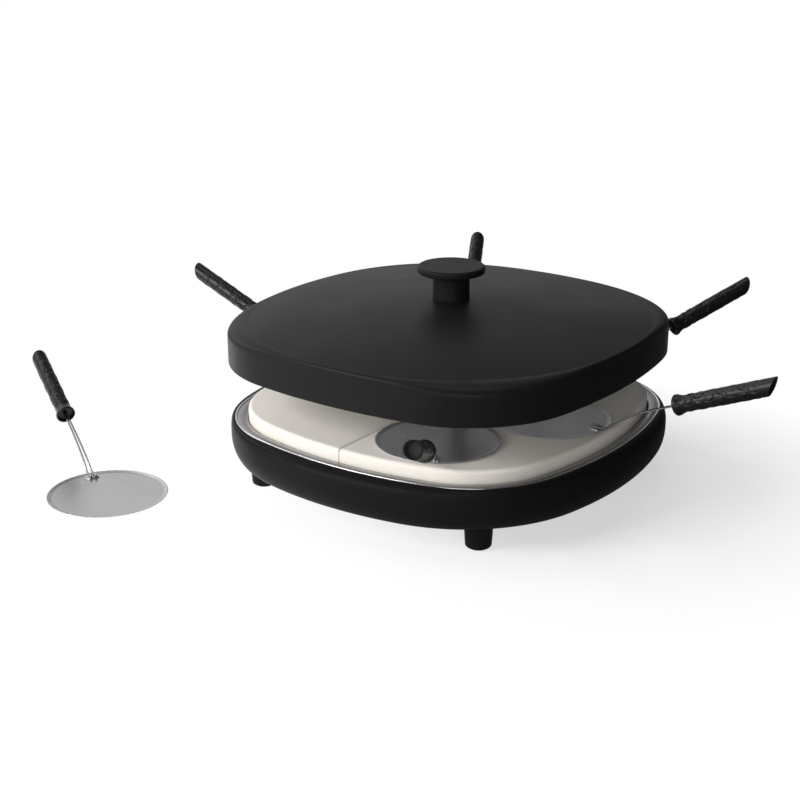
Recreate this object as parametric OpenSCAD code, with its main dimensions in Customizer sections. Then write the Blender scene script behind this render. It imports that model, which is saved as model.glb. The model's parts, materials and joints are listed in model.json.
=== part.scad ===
// Table-top oven: a heated base with a two-piece baking stone, a central column that
// carries the upper heating element and a lift-off lid, and six long-handled plates.
// Origin: on the table, below the column. X runs along the front, Y to the back, Z up.

/* [Base] */
// Width of the base at its widest
base_width = 401; // [395:1:420]
// Depth of the base at its widest
base_depth = 406; // [400:1:425]
// Radius of the gently bowed sides of the base
base_side_radius = 362; // [340:1:400]
// Radius of the base's corners
base_corner_radius = 152; // [145:1:160]
// Height of the housing from its underside to its rim
base_height = 42; // [40:1:50]
// Height over which the lower part of the housing curves in
base_curve_height = 26; // [20:1:28]
// How far the housing curves in at its underside
base_tuck = 14.6; // [10:0.2:18]
// Wall of the housing
base_wall = 3; // [2:0.2:4]
// How far the shoulder draws in from the widest line to the bright edge
shoulder_width = 9.9; // [8:0.1:12]
// Height of the rounded shoulder
shoulder_height = 9.5; // [8:0.5:11]
// Height of the feet
foot_height = 24; // [15:1:35]
// Diameter of a foot at its top
foot_diameter = 26.5; // [20:0.5:28]
// Distance of a foot's axis from the left or right end of the base
foot_inset_x = 76.5; // [74:0.5:80]
// Distance of a foot's axis from the front or back end of the base
foot_inset_y = 64.5; // [62:0.5:69]

/* [Tray and stone] */
// Radius of the rim's gently bowed sides
rim_side_radius = 401; // [380:1:430]
// Radius of the rim's corners
rim_corner_radius = 110; // [100:1:118]
// Width of the bright edge bead
bead_width = 2.2; // [1.6:0.2:3]
// Width of the metal band between the bright edge and the stone
tray_band = 13.3; // [11:0.1:16]
// Thickness of the baking stone
stone_thickness = 17; // [14:1:20]
// Height of the stone's top above the rim
stone_rise = 11; // [8:0.5:14]
// Rounding of the stone's upper edge
stone_edge = 4; // [2:0.5:6]
// Width of the seam between the two halves of the stone
stone_seam = 1.2; // [0.6:0.2:2]

/* [Column and heating] */
// Diameter of the central column
column_diameter = 30; // [26:1:34]
// Diameter of a tubular heating element
element_diameter = 6.5; // [5:0.5:8]
// Radius of the lower element's loop
lower_loop_radius = 118; // [105:1:125]
// Radius of the upper element's loop
upper_loop_radius = 105; // [90:1:125]
// Diameter of the upper reflector
reflector_diameter = 300; // [280:2:310]

/* [Lid] */
// Clear height between the stone and the lid's lower edge
lid_gap = 46; // [40:1:60]
// Width of the lid
lid_width = 380; // [370:1:390]
// Depth of the lid
lid_depth = 392; // [382:1:402]
// Radius of the lid's gently bowed sides
lid_side_radius = 525; // [480:5:560]
// Radius of the lid's corners
lid_corner_radius = 117; // [110:1:125]
// Radius of the bowed sides where the wall turns into the crown
crown_side_radius = 306; // [290:1:330]
// Radius of the corners where the wall turns into the crown
crown_corner_radius = 180; // [170:1:186]
// Height of the lid's upright wall
lid_wall_height = 27; // [22:1:34]
// Height of the rounded turn from the wall to the crown
lid_turn_height = 9.2; // [7:0.2:12]
// Height of the crown above that turn
crown_height = 17.2; // [14:0.2:22]
// Wall of the lid
lid_wall = 2.2; // [1.6:0.2:3]
// Diameter of the knob's disc
knob_diameter = 65.5; // [55:0.5:75]
// Thickness of the knob's disc
knob_thickness = 7; // [6:0.5:10]
// Diameter of the knob's stem
stem_diameter = 36; // [30:1:42]
// Height of the knob's stem
stem_height = 25.6; // [20:0.2:34]

/* [Spatulas] */
// Diameter of a spatula's plate
plate_diameter = 115; // [100:1:116]
// Distance of a corner plate's centre from the column's axis
corner_reach = 126; // [122:1:130]
// Distance of a side plate's centre from the column's axis
side_reach = 114; // [112:1:118]
// Diameter of the handle wire
wire_diameter = 1.9; // [1.5:0.1:2.4]
// Diameter of a grip at its middle
grip_diameter = 15.8; // [14:0.2:17]
// Diameter of a grip's flared collar
collar_diameter = 19.6; // [18.6:0.2:21]
// Length of a grip along its axis
grip_length = 94; // [80:1:110]
// Slope of a grip above the level
grip_slope = 22; // [18:0.5:26]

/* [Switch and cord entry] */
// Width of the switch's frame
switch_width = 21; // [19:0.5:24]
// Height of the switch's frame
switch_height = 14; // [13:0.5:16]
// Angle the rocker turns between off and on
rocker_throw = 18; // [12:1:22]
// Bore of the cord gland
gland_bore = 7.2; // [6:0.1:8]

/* [Hidden] */

$fn = 64;

// Colours, as the pieces look
black_coat = [0.08, 0.08, 0.085];
black_plastic = [0.06, 0.06, 0.065];
bright_steel = [0.86, 0.87, 0.88];
satin_steel = [0.62, 0.63, 0.65];
dark_steel = [0.42, 0.42, 0.43];
cream_stone = [0.93, 0.90, 0.85];
pale_ceramic = [0.90, 0.88, 0.82];
brass_metal = [0.78, 0.66, 0.36];
rubber_black = [0.10, 0.10, 0.10];

// Clearances
fit = 0.05;          // radial clearance of a screw or pin in its hole
seat_gap = 0.1;      // gap under a piece that is lifted off its seat
slip = 0.3;          // side clearance of a dropped-in sheet
clip_play = 0.25;    // clearance of a clip round the upper element
sheet = 1;           // thickness of pressed sheet metal

// Outlines: half width, half depth, side radius, corner radius
base_shape = [base_width / 2, base_depth / 2, base_side_radius, base_corner_radius];
rim_shape = [base_width / 2 - shoulder_width - 1.1, base_depth / 2 - shoulder_width - 1.1,
    rim_side_radius, rim_corner_radius];
shoulder_shape = grown(rim_shape, 1.1);
stone_shape = grown(rim_shape, -tray_band);
lid_shape = [lid_width / 2, lid_depth / 2, lid_side_radius, lid_corner_radius];
crown_shape = [lid_width / 2 + 2.4, lid_depth / 2 + 1.4, crown_side_radius, crown_corner_radius];

// Heights
rim_z = foot_height + base_height;
wall_z = foot_height + base_curve_height;
shoulder_z = rim_z - 0.4 - shoulder_height;
stone_top = rim_z + stone_rise;
stone_bottom = stone_top - stone_thickness;
lid_bottom = stone_top + lid_gap;
turn_z = lid_bottom + lid_wall_height;
crown_z = turn_z + lid_turn_height;
lid_top = crown_z + crown_height;

// Housing: bottom flange, cover rebate and the parting line in the shoulder
flange_thickness = 3.6;
flange_width = 40;
rebate_width = 6;
rebate_depth = 1.4;
vent_start = 50;         // from the middle of the cover to its first slot on either side
vent_pitch = 20;
vent_count = 3;
vent_width = 6;
vent_length = 80;
parting_angle = 45;
parting_land = 3.4;
parting_groove = 0.4;
flange_top = foot_height + flange_thickness;
parting_z = shoulder_z + shoulder_height * sin(parting_angle);
parting_shape = mixed(base_shape, shoulder_shape, 1 - cos(parting_angle));

// Screws and soles
bolt_radius = 2;
bolt_head_radius = 4;
head_recess = 2.2;       // depth of the pockets for the pan screws' heads
cover_screw_radius = 1.5;
cover_head_height = 1.6;
pad_radius = 9;
pad_height = 3;

// Tray and pan
bead_height = 2;
seat_width = 8;
seat_z = rim_z - 1.6;
tray_sheet = 1.2;
tray_top = seat_z + tray_sheet;
stone_play = 0.5;
ledge_width = 14;
ledge_z = stone_bottom;
pan_top = ledge_z - tray_sheet;
pan_floor = foot_height + flange_thickness + 11.4;
pan_inset = 20;

// Column
column_radius = column_diameter / 2;
column_wall = 1.5;
column_bottom = foot_height + 6;
nut_height = pan_floor - sheet - column_bottom - 1;
element_radius = element_diameter / 2;
lower_element_z = pan_floor + 7.5;
leg_angle = 8;
spacer_thickness = 4;
liner_pad_z = lid_top - lid_wall - spacer_thickness - sheet;
carrier_top = liner_pad_z - seat_gap;
carrier_radius = 50;
carrier_plate = 2.5;
reflector_top = lid_bottom + 29.5;
reflector_rim = 11.5;
collar_height = 4;
upper_element_z = reflector_top - sheet - 8.7;
upper_leg_y = 8;

// Lid details
edge_round = 1.2;
turn_round = 4;
crown_power = 1.9;
pad_share = 0.105;
liner_inset = 9;
roof_seat = turn_z + 2;
knob_hole = 2.9;
screw_radius = 2.45;
washer_radius = 7;
head_height = 3.2;

// Spatula details
plate_sheet = 0.8;
plate_rim_height = 1.9;
plate_rim_width = 3.5;
tab_length = 10;
tab_width = 12;
tab_thickness = 1.3;
wire_radius = wire_diameter / 2;
wire_spread = 2.7;       // half distance between the two runs of wire at the plate
wire_close = 1.3;        // half distance between them inside the grip
wire_depth = 42;         // how deep the hairpin reaches into the grip
wire_reach = 70;         // from the plate's edge to the collar's face
wire_run = plate_diameter / 2 + wire_reach;
collar_rise = 40;        // height of the collar's centre above the plate's underside
rise_angle = 46;         // slope of the wire as it leaves the plate
bend_radius = 5.6;
lift_inset = 1.5;        // from the plate's edge in to where the wire begins to rise
low_pull = 16;           // how far the wire keeps its first slope
high_pull = 35;          // how far before the grip it takes the grip's slope
cut_angle = 36;          // slant of the grip's open end
plate_z = stone_top + seat_gap;
table_plate = [-228, -248];
table_turn = 154;

// Cord entry, switch and thermostat
gland_offset = 50;
gland_radius = 6;
entry_z = foot_height + 21;
frame_thickness = 2;
window_half = 7.4;
rocker_radius = 8.2;
rocker_height = 9.4;
pivot_depth = 4.4;       // how far the rocker's pivot lies behind the housing's wall
pin_radius = 1.2;
body_depth = 17;
switch_wall = 1.5;
cable_radius = 1.3;
block_inset = 33.5;      // from the back of the base to the middle of the terminal block
block_place = [55, base_depth / 2 - block_inset];
block_size = [34, 13, 12];
thermostat_place = [62, 0];

foot_x = base_width / 2 - foot_inset_x;
foot_y = base_depth / 2 - foot_inset_y;
standoff_step = [6, 12.5];
foot_places = [for (y = [-1, 1]) for (x = [-1, 1]) [x * foot_x, y * foot_y]];
standoff_places = [for (y = [-1, 1]) for (x = [-1, 1])
    [x * (foot_x - standoff_step[0]), y * (foot_y - standoff_step[1])]];
cover_screw_inset = base_tuck + flange_width - rebate_width / 2;
cover_screw_places = [[base_width / 2 - cover_screw_inset, 0], [0, base_depth / 2 - cover_screw_inset],
    [cover_screw_inset - base_width / 2, 0], [0, cover_screw_inset - base_depth / 2]];

// ---- Outlines and lofts ----

function mixed(p, q, share) = p * (1 - share) + q * share;

// The same outline, moved outwards by d all round
function grown(shape, d) = [shape[0] + d, shape[1] + d, shape[2] + d, shape[3] + d];

function round_shape(r) = [r, r, r, r];

// Centre of the corner arc, where it touches both bowed sides from inside
function corner_centre(shape) =
    let (x = shape[0] - shape[2], y = shape[1] - shape[2], reach = shape[2] - shape[3], d = norm([x, y]))
    d < 0.001 ? [0, 0]
    : let (h = sqrt(max(reach * reach - d * d / 4, 0)))
        [x / 2 - h * y / d, y / 2 - h * x / d];

function arc(cx, cy, r, from, to, steps) =
    [for (i = [0 : steps]) let (a = from + (to - from) * i / steps) [cx + r * cos(a), cy + r * sin(a)]];

function without_last(list) = [for (i = [0 : len(list) - 2]) list[i]];

// One quarter of an outline, from the +X axis to the +Y axis: side, corner, side
side_steps = 3;
corner_steps = 6;
function quarter(shape) =
    let (
        c = corner_centre(shape),
        x = shape[0] - shape[2],
        y = shape[1] - shape[2],
        flat = norm([x, y]) < 0.001,
        t1 = flat ? 30 : atan2(c[1], c[0] - x),
        t2 = flat ? 60 : atan2(c[1] - y, c[0])
    )
    concat(
        without_last(arc(x, 0, shape[2], 0, t1, side_steps)),
        without_last(arc(c[0], c[1], shape[3], t1, t2, corner_steps)),
        arc(0, y, shape[2], t2, 90, side_steps)
    );

function outline(shape) =
    let (q = quarter(shape), m = len(q) - 1)
    concat(
        [for (i = [0 : m - 1]) q[i]],
        [for (i = [m : -1 : 1]) [-q[i][0], q[i][1]]],
        [for (i = [0 : m - 1]) -q[i]],
        [for (i = [m : -1 : 1]) [q[i][0], -q[i][1]]]
    );

function ring(shape, z) = [for (p = outline(shape)) [p[0], p[1], z]];

function strip(a, b, n) =
    [for (j = [0 : n - 1]) each [[a + j, b + j, b + (j + 1) % n], [a + j, b + (j + 1) % n, a + (j + 1) % n]]];

// Skin through a list of rings. A looped skin joins its last ring to its first
module loft(rings, looped = false) {
    n = len(rings[0]);
    count = len(rings);
    sides = [for (i = [0 : count - 2]) each strip(i * n, (i + 1) * n, n)];
    ends = looped ? strip((count - 1) * n, 0, n)
        : [[for (j = [0 : n - 1]) j], [for (j = [n - 1 : -1 : 0]) (count - 1) * n + j]];
    polyhedron(points = [for (r = rings) each r], faces = concat(sides, ends), convexity = 10);
}

function unit(v) = v / norm(v);

function tangents(path) =
    [for (i = [0 : len(path) - 1]) unit(path[min(i + 1, len(path) - 1)] - path[max(i - 1, 0)])];

// A side direction carried along the path without twisting
function carried(t, side, i = 0) =
    i == len(t) ? []
    : let (s = unit(side - t[i] * (side * t[i]))) concat([s], carried(t, s, i + 1));

module tube(path, radius, sides, start_side) {
    t = tangents(path);
    s = carried(t, start_side);
    loft([for (i = [0 : len(path) - 1])
        let (w = cross(t[i], s[i]))
        [for (k = [0 : sides - 1])
            path[i] + radius * (s[i] * cos(360 * k / sides) + w * sin(360 * k / sides))]]);
}

function bezier(p, steps) =
    [for (i = [0 : steps]) let (u = i / steps, v = 1 - u)
        p[0] * v * v * v + p[1] * 3 * v * v * u + p[2] * 3 * v * u * u + p[3] * u * u * u];

// A straight tube with flat ends
module pipe(outer, inner, bottom, top) {
    translate([0, 0, bottom])
        difference() {
            cylinder(r = outer, h = top - bottom);
            translate([0, 0, -1])
                cylinder(r = inner, h = top - bottom + 2);
        }
}

module at_places(places) {
    for (p = places)
        translate([p[0], p[1], 0])
            children();
}

// A place on the back wall, x along the wall and z up, with its own +Y pointing outwards
module at_back(offset) {
    turn = asin(offset / base_side_radius);
    translate([0, base_depth / 2 - base_side_radius, entry_z])
        rotate([0, 0, -turn])
            translate([0, base_side_radius, 0])
                children();
}

// A cylinder from the back wall inwards or outwards, between two depths along +Y
module along_y(r, from, to) {
    translate([0, from, 0])
        rotate([-90, 0, 0])
            cylinder(r = r, h = to - from);
}

// ---- Base ----

function curve_ring(angle, inset) =
    ring(grown(base_shape, -inset - base_tuck * (1 - cos(angle))),
        wall_z - (wall_z - foot_height) * sin(angle));

function shoulder_ring(angle) =
    ring(mixed(base_shape, shoulder_shape, 1 - cos(angle)), shoulder_z + shoulder_height * sin(angle));

module housing() {
    floor_angle = asin((wall_z - flange_top) / (wall_z - foot_height));
    opening = grown(base_shape, -base_tuck - flange_width);
    rebate = grown(opening, rebate_width);
    color(black_plastic)
        difference() {
            loft(concat(
                [ring(rebate, foot_height)],
                [for (a = [90 : -15 : 0]) curve_ring(a, 0)],
                [for (a = [0 : 15 : parting_angle]) shoulder_ring(a)],
                [ring(grown(parting_shape, -parting_land), parting_z)],
                [ring(grown(base_shape, -base_wall), shoulder_z)],
                [for (a = [0, 25]) curve_ring(a, base_wall)],
                [ring(grown(base_shape, -base_wall - base_tuck * (1 - cos(floor_angle))), flange_top)],
                [ring(opening, flange_top), ring(opening, foot_height + rebate_depth)],
                [ring(rebate, foot_height + rebate_depth)]
            ), looped = true);
            at_places(foot_places)
                translate([0, 0, foot_height - 1])
                    cylinder(r = bolt_radius + fit, h = flange_thickness + 2);
            at_places(standoff_places) {
                translate([0, 0, foot_height - 1])
                    cylinder(r = bolt_radius + fit, h = flange_thickness + 2);
                translate([0, 0, foot_height - 1])
                    cylinder(r = bolt_head_radius + 0.4, h = 1 + head_recess);
            }
            at_places(cover_screw_places)
                translate([0, 0, foot_height])
                    cylinder(r = cover_screw_radius + fit, h = flange_thickness + 1);
            at_back(gland_offset)
                along_y(gland_radius + 0.1, -2 * base_wall, 2);
            at_back(0) {
                translate([-switch_width / 2 - 0.1, -1, -switch_height / 2 - 0.1])
                    cube([switch_width + 0.2, 10, switch_height + 0.2]);
                translate([-switch_width / 2 + 1.4, -10, -switch_height / 2 + 0.9])
                    cube([switch_width - 2.8, 20, switch_height - 1.8]);
            }
        }
}

// Black ring on the housing, which carries the tray and closes the shoulder
module rim_frame() {
    outer = grown(parting_shape, -parting_groove);
    inner = grown(parting_shape, -parting_land - 0.1);
    color(black_plastic)
        loft(concat(
            [ring(inner, parting_z), ring(outer, parting_z), ring(outer, parting_z + parting_groove)],
            [ring(grown(parting_shape, -0.05), parting_z + parting_groove)],
            [for (a = [60, 75, 90]) shoulder_ring(a)],
            [ring(grown(rim_shape, 0.1), rim_z - 0.4), ring(grown(rim_shape, 0.1), seat_z)],
            [ring(grown(rim_shape, -seat_width), seat_z)],
            [ring(grown(rim_shape, -seat_width), parting_z - 2), ring(inner, parting_z - 2)]
        ), looped = true);
}

module bottom_cover() {
    cover_shape = grown(base_shape, -base_tuck - flange_width + rebate_width - slip);
    color(satin_steel)
        difference() {
            translate([0, 0, foot_height])
                linear_extrude(height = rebate_depth)
                    polygon(outline(cover_shape));
            at_places(cover_screw_places)
                translate([0, 0, foot_height - 1])
                    cylinder(r = cover_screw_radius + fit, h = rebate_depth + 2);
            for (side = [-1, 1])
                for (i = [0 : vent_count - 1])
                    translate([side * (vent_start + i * vent_pitch) - vent_width / 2, -vent_length / 2,
                        foot_height - 1])
                        cube([vent_width, vent_length, rebate_depth + 2]);
        }
}

module cover_screws() {
    color(satin_steel)
        at_places(cover_screw_places) {
            translate([0, 0, foot_height - cover_head_height])
                cylinder(r = 3.2, h = cover_head_height);
            translate([0, 0, foot_height - 1])
                cylinder(r = cover_screw_radius, h = flange_thickness + 1.6);
        }
}

module foot(place) {
    top = foot_diameter / 2;
    low = top - 1.25;
    lift = 0.8;
    color(black_plastic)
        translate([place[0], place[1], 0])
            difference() {
                rotate_extrude()
                    polygon(concat(
                        [[0, lift]],
                        arc(low - 2.5, lift + 2.5, 2.5, -90, 0, 5),
                        [[top, foot_height], [0, foot_height]]
                    ));
                translate([0, 0, -1])
                    cylinder(r = pad_radius + fit, h = 1 + pad_height);
                translate([0, 0, pad_height + 5])
                    cylinder(r = bolt_radius, h = foot_height);
            }
}

module foot_front_left() { foot(foot_places[0]); }
module foot_front_right() { foot(foot_places[1]); }
module foot_back_left() { foot(foot_places[2]); }
module foot_back_right() { foot(foot_places[3]); }

module foot_pads() {
    color(rubber_black)
        at_places(foot_places)
            cylinder(r = pad_radius, h = pad_height);
}

module foot_screws() {
    color(satin_steel)
        at_places(foot_places) {
            translate([0, 0, flange_top])
                cylinder(r = bolt_head_radius, h = 2.6);
            translate([0, 0, pad_height + 6])
                cylinder(r = bolt_radius - fit, h = flange_top - pad_height - 5);
        }
}

module pan_standoffs() {
    color(satin_steel)
        at_places(standoff_places)
            pipe(5, bolt_radius + fit, flange_top, pan_floor - sheet);
}

module pan_screws() {
    color(satin_steel)
        at_places(standoff_places) {
            translate([0, 0, foot_height + 0.2])
                cylinder(r = bolt_head_radius, h = head_recess - 0.2);
            translate([0, 0, foot_height + 1])
                cylinder(r = bolt_radius - fit, h = pan_floor - foot_height + 2);
        }
}

// ---- Tray, stone and lower heating ----

module edge_bead() {
    r = bead_width / 2;
    top = seat_z + bead_height;
    color(bright_steel)
        loft(concat(
            [ring(grown(rim_shape, -bead_width), seat_z), ring(rim_shape, seat_z)],
            [for (a = [0 : 36 : 180]) ring(grown(rim_shape, -r + r * cos(a)), top - r * 0.7 * (1 - sin(a)))]
        ), looped = true);
}

module stone_tray() {
    outer = grown(rim_shape, -bead_width - fit);
    well = grown(stone_shape, stone_play);
    color(satin_steel)
        loft([
            ring(outer, seat_z),
            ring(outer, tray_top),
            ring(grown(well, 2.6), tray_top - 0.6),
            ring(grown(well, 0.8), tray_top - 1.3),
            ring(well, tray_top - 3),
            ring(well, ledge_z),
            ring(grown(stone_shape, -ledge_width), ledge_z),
            ring(grown(stone_shape, -ledge_width), ledge_z - tray_sheet),
            ring(grown(well, tray_sheet), ledge_z - tray_sheet),
            ring(grown(well, tray_sheet), tray_top - 3.2),
            ring(grown(well, 2.6), seat_z - 1),
            ring(grown(rim_shape, -seat_width - 0.2), seat_z)
        ], looped = true);
}

// Pan below the stone: it hangs from the tray's ledge and stands on the standoffs
module lower_reflector() {
    hole = round_shape(column_radius + 0.2);
    foot_of_wall = grown(stone_shape, -pan_inset);
    color(bright_steel)
        difference() {
            loft([
                ring(grown(stone_shape, -2), pan_top - sheet),
                ring(grown(stone_shape, -2), pan_top),
                ring(grown(stone_shape, -ledge_width - 2), pan_top),
                ring(grown(foot_of_wall, 0.6), pan_floor + 1.2),
                ring(grown(foot_of_wall, -1), pan_floor),
                ring(hole, pan_floor),
                ring(hole, pan_floor - sheet),
                ring(grown(foot_of_wall, -0.6), pan_floor - sheet),
                ring(grown(foot_of_wall, 1.7), pan_floor + 0.8),
                ring(grown(stone_shape, -ledge_width - 0.9), pan_top - sheet)
            ], looped = true);
            at_places(standoff_places)
                translate([0, 0, pan_floor - 3])
                    cylinder(r = bolt_radius + fit, h = 6);
            for (side = [-1, 1])
                rotate([0, 0, 90 + side * leg_angle])
                    translate([lower_loop_radius, 0, pan_floor - 3])
                        cylinder(r = element_radius + fit, h = 6);
        }
}

// Nearly closed loop of tubular element, open at the back by twice the leg angle
module loop(radius, z, gap_middle) {
    translate([0, 0, z]) {
        rotate([0, 0, gap_middle + leg_angle])
            rotate_extrude(angle = 360 - 2 * leg_angle)
                translate([radius, 0])
                    circle(r = element_radius, $fn = 24);
        for (side = [-1, 1])
            rotate([0, 0, gap_middle + side * leg_angle])
                translate([radius, 0, 0])
                    sphere(r = element_radius, $fn = 24);
    }
}

module lower_heating_element() {
    leg_bottom = pan_floor - sheet - 6.5;
    color(dark_steel) {
        loop(lower_loop_radius, lower_element_z, 90);
        for (side = [-1, 1])
            rotate([0, 0, 90 + side * leg_angle])
                translate([lower_loop_radius, 0, leg_bottom])
                    cylinder(r = element_radius, h = lower_element_z - leg_bottom, $fn = 24);
    }
}

module clips(radius, bottom, top, z, play) {
    difference() {
        for (a = [45 : 90 : 315])
            rotate([0, 0, a])
                translate([radius - element_radius - 2, -4, bottom])
                    cube([element_diameter + 4, 8, top - bottom]);
        translate([0, 0, z])
            rotate_extrude()
                translate([radius, 0])
                    circle(r = element_radius + play, $fn = 24);
    }
}

module lower_element_clips() {
    color(satin_steel)
        clips(lower_loop_radius, pan_floor, lower_element_z + element_radius + 1.5, lower_element_z, fit);
}

// Bar under the stone's seam, on four posts that stand in the pan
module stone_support() {
    bar_thickness = 1.6;
    bar_width = column_diameter + 8;
    bar_length = 2 * (stone_shape[1] - ledge_width - 2) - 2;
    post_radius = 4;
    inner_post = column_radius + 30;
    outer_post = (lower_loop_radius + element_radius + stone_shape[1] - pan_inset) / 2;
    color(satin_steel)
        difference() {
            union() {
                translate([-bar_width / 2, -bar_length / 2, stone_bottom - bar_thickness])
                    cube([bar_width, bar_length, bar_thickness]);
                for (y = [-1, 1])
                    for (reach = [inner_post, outer_post])
                        translate([0, y * reach, pan_floor])
                            cylinder(r = post_radius, h = stone_bottom - pan_floor - 0.5);
            }
            translate([0, 0, pan_floor])
                cylinder(r = column_radius + 0.2, h = stone_thickness + 20);
        }
}

// Right half of the stone's outline, closed along the seam
function stone_ring(inset, z) =
    let (
        full = outline(grown(stone_shape, -inset)),
        n = len(full),
        q = n / 4
    )
    [for (i = [-q : q]) let (p = full[(i + n) % n]) [max(p[0], stone_seam / 2), p[1], z]];

// Half of the stone, with a bay around the column
module stone_half() {
    color(cream_stone)
        difference() {
            loft(concat(
                [stone_ring(0, stone_bottom), stone_ring(0, stone_top - stone_edge)],
                [for (a = [30 : 30 : 90])
                    stone_ring(stone_edge * (1 - cos(a)), stone_top - stone_edge * (1 - sin(a)))]
            ));
            translate([0, 0, stone_bottom - 1])
                cylinder(r = column_radius + 2.5, h = stone_thickness + 2);
        }
}

module stone_right() { stone_half(); }

module stone_left() {
    mirror([1, 0, 0])
        stone_half();
}

// ---- Column and upper heating ----

module column_tube() {
    color(satin_steel)
        difference() {
            pipe(column_radius, column_radius - column_wall, column_bottom, carrier_top - 6.2);
            for (side = [-1, 1])
                translate([0, side * upper_leg_y, upper_element_z])
                    rotate([0, 90, 0])
                        cylinder(r = element_radius + fit, h = column_diameter, $fn = 24);
        }
}

module column_flange() {
    color(satin_steel)
        pipe(column_radius + 17, column_radius + fit, pan_floor, pan_floor + 2);
}

module column_nut() {
    color(satin_steel)
        difference() {
            translate([0, 0, pan_floor - sheet - nut_height])
                cylinder(r = column_radius + 7, h = nut_height, $fn = 6);
            translate([0, 0, column_bottom - 2])
                cylinder(r = column_radius + fit, h = nut_height + 10);
        }
}

module column_collar() {
    color(satin_steel)
        pipe(column_radius + 5, column_radius + fit, reflector_top - sheet - collar_height,
            reflector_top - sheet);
}

module upper_reflector() {
    outer = reflector_diameter / 2;
    inner = column_radius + 0.2;
    low = reflector_top - reflector_rim;
    color(bright_steel)
        rotate_extrude($fn = 96)
            polygon([
                [inner, reflector_top - sheet], [outer - 5, reflector_top - sheet],
                [outer - 1.6, reflector_top - 3.4], [outer - sheet, low], [outer, low],
                [outer - 0.6, reflector_top - 3], [outer - 4.6, reflector_top], [inner, reflector_top]
            ]);
}

// Loop whose two ends bend inwards and run side by side into the column
module upper_heating_element() {
    bend = 10;
    turn = asin((upper_leg_y + bend) / (upper_loop_radius - bend));
    reach = (upper_loop_radius - bend) * cos(turn);
    turned = arc(reach, upper_leg_y + bend, bend, -90, turn, 4);
    around = arc(0, 0, upper_loop_radius, turn, 360 - turn, 48);
    half = concat([[6, upper_leg_y]], without_last(turned));
    flat = concat(half, around, [for (i = [len(half) - 1 : -1 : 0]) [half[i][0], -half[i][1]]]);
    color(dark_steel)
        tube([for (p = flat) [p[0], p[1], upper_element_z]], element_radius, 8, [0, 0, 1]);
}

module upper_element_clips() {
    color(satin_steel)
        clips(upper_loop_radius, upper_element_z - element_radius - 1.5, reflector_top - sheet,
            upper_element_z, clip_play);
}

// Spool on the column's end: its hub clamps the reflector and its plate carries the lid
module lid_carrier() {
    color(satin_steel)
        rotate_extrude()
            polygon([
                [column_radius + fit, reflector_top], [column_radius + 5, reflector_top],
                [column_radius + 5, carrier_top - carrier_plate - 4],
                [column_radius + 9, carrier_top - carrier_plate],
                [carrier_radius, carrier_top - carrier_plate], [carrier_radius, carrier_top - 1],
                [carrier_radius - 1, carrier_top], [9, carrier_top], [9, carrier_top - 6],
                [column_radius + fit, carrier_top - 6]
            ]);
}

// ---- Switch, cord entry and wiring ----

module switch_housing() {
    half_w = switch_width / 2;
    half_h = switch_height / 2;
    box_w = switch_width - 3;
    box_h = switch_height - 2;
    cavity_h = rocker_height + 0.6;
    color(black_plastic)
        at_back(0)
            difference() {
                union() {
                    translate([-half_w, -1 + 0.05, -half_h])
                        cube([switch_width, frame_thickness, switch_height]);
                    translate([-box_w / 2, -body_depth, -box_h / 2])
                        cube([box_w, body_depth, box_h]);
                }
                translate([-window_half, -pivot_depth, -cavity_h / 2])
                    cube([2 * window_half, 20, cavity_h]);
                translate([0, -pivot_depth, -cavity_h / 2])
                    cylinder(r = rocker_radius + 0.3, h = cavity_h);
                translate([0, -pivot_depth, -half_h + 1.2])
                    cylinder(r = pin_radius + fit, h = switch_height - 2.4);
            }
}

// Rocker with a shallow V face, drawn in its off position
module switch_rocker() {
    color(black_plastic)
        at_back(0)
            translate([0, -pivot_depth, 0])
                rotate([0, 0, -rocker_throw / 2]) {
                    translate([0, 0, -rocker_height / 2])
                        linear_extrude(height = rocker_height)
                            intersection() {
                                circle(r = rocker_radius);
                                polygon([[-6.2, -3], [6.2, -3], [7, 7.4], [0, 6.2], [-7, 7.4]]);
                            }
                    translate([0, 0, -rocker_height / 2 - 0.9])
                        cylinder(r = pin_radius, h = rocker_height + 1.8);
                }
}

module cord_gland() {
    color(black_plastic)
        at_back(gland_offset)
            difference() {
                union() {
                    along_y(gland_radius, -9, 1);
                    along_y(9.5, 0.4, 3.4);
                    along_y(7.4, 3, 7);
                    along_y(7.2, -base_wall - 5.4, -base_wall - 2.3);
                }
                along_y(gland_bore / 2, -12, 12);
            }
}

module terminal_block() {
    color(pale_ceramic)
        translate([block_place[0], block_place[1], flange_top])
            difference() {
                translate([-block_size[0] / 2, -block_size[1] / 2, 0])
                    cube(block_size);
                for (x = [-10, 0, 10])
                    translate([x, 0, block_size[2] - 5])
                        cylinder(r = 2.6, h = 8);
            }
}

module thermostat() {
    color(satin_steel)
        translate([thermostat_place[0], thermostat_place[1], 0]) {
            translate([0, 0, pan_floor - sheet - 3])
                cylinder(r = 9, h = 3);
            translate([0, 0, pan_floor - sheet - 6])
                cylinder(r = 7, h = 3.2);
        }
}

module cable(points, rise = []) {
    tube(concat(bezier(points, 8), rise), cable_radius, 6, [1, 0.3, 0.2]);
}

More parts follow.
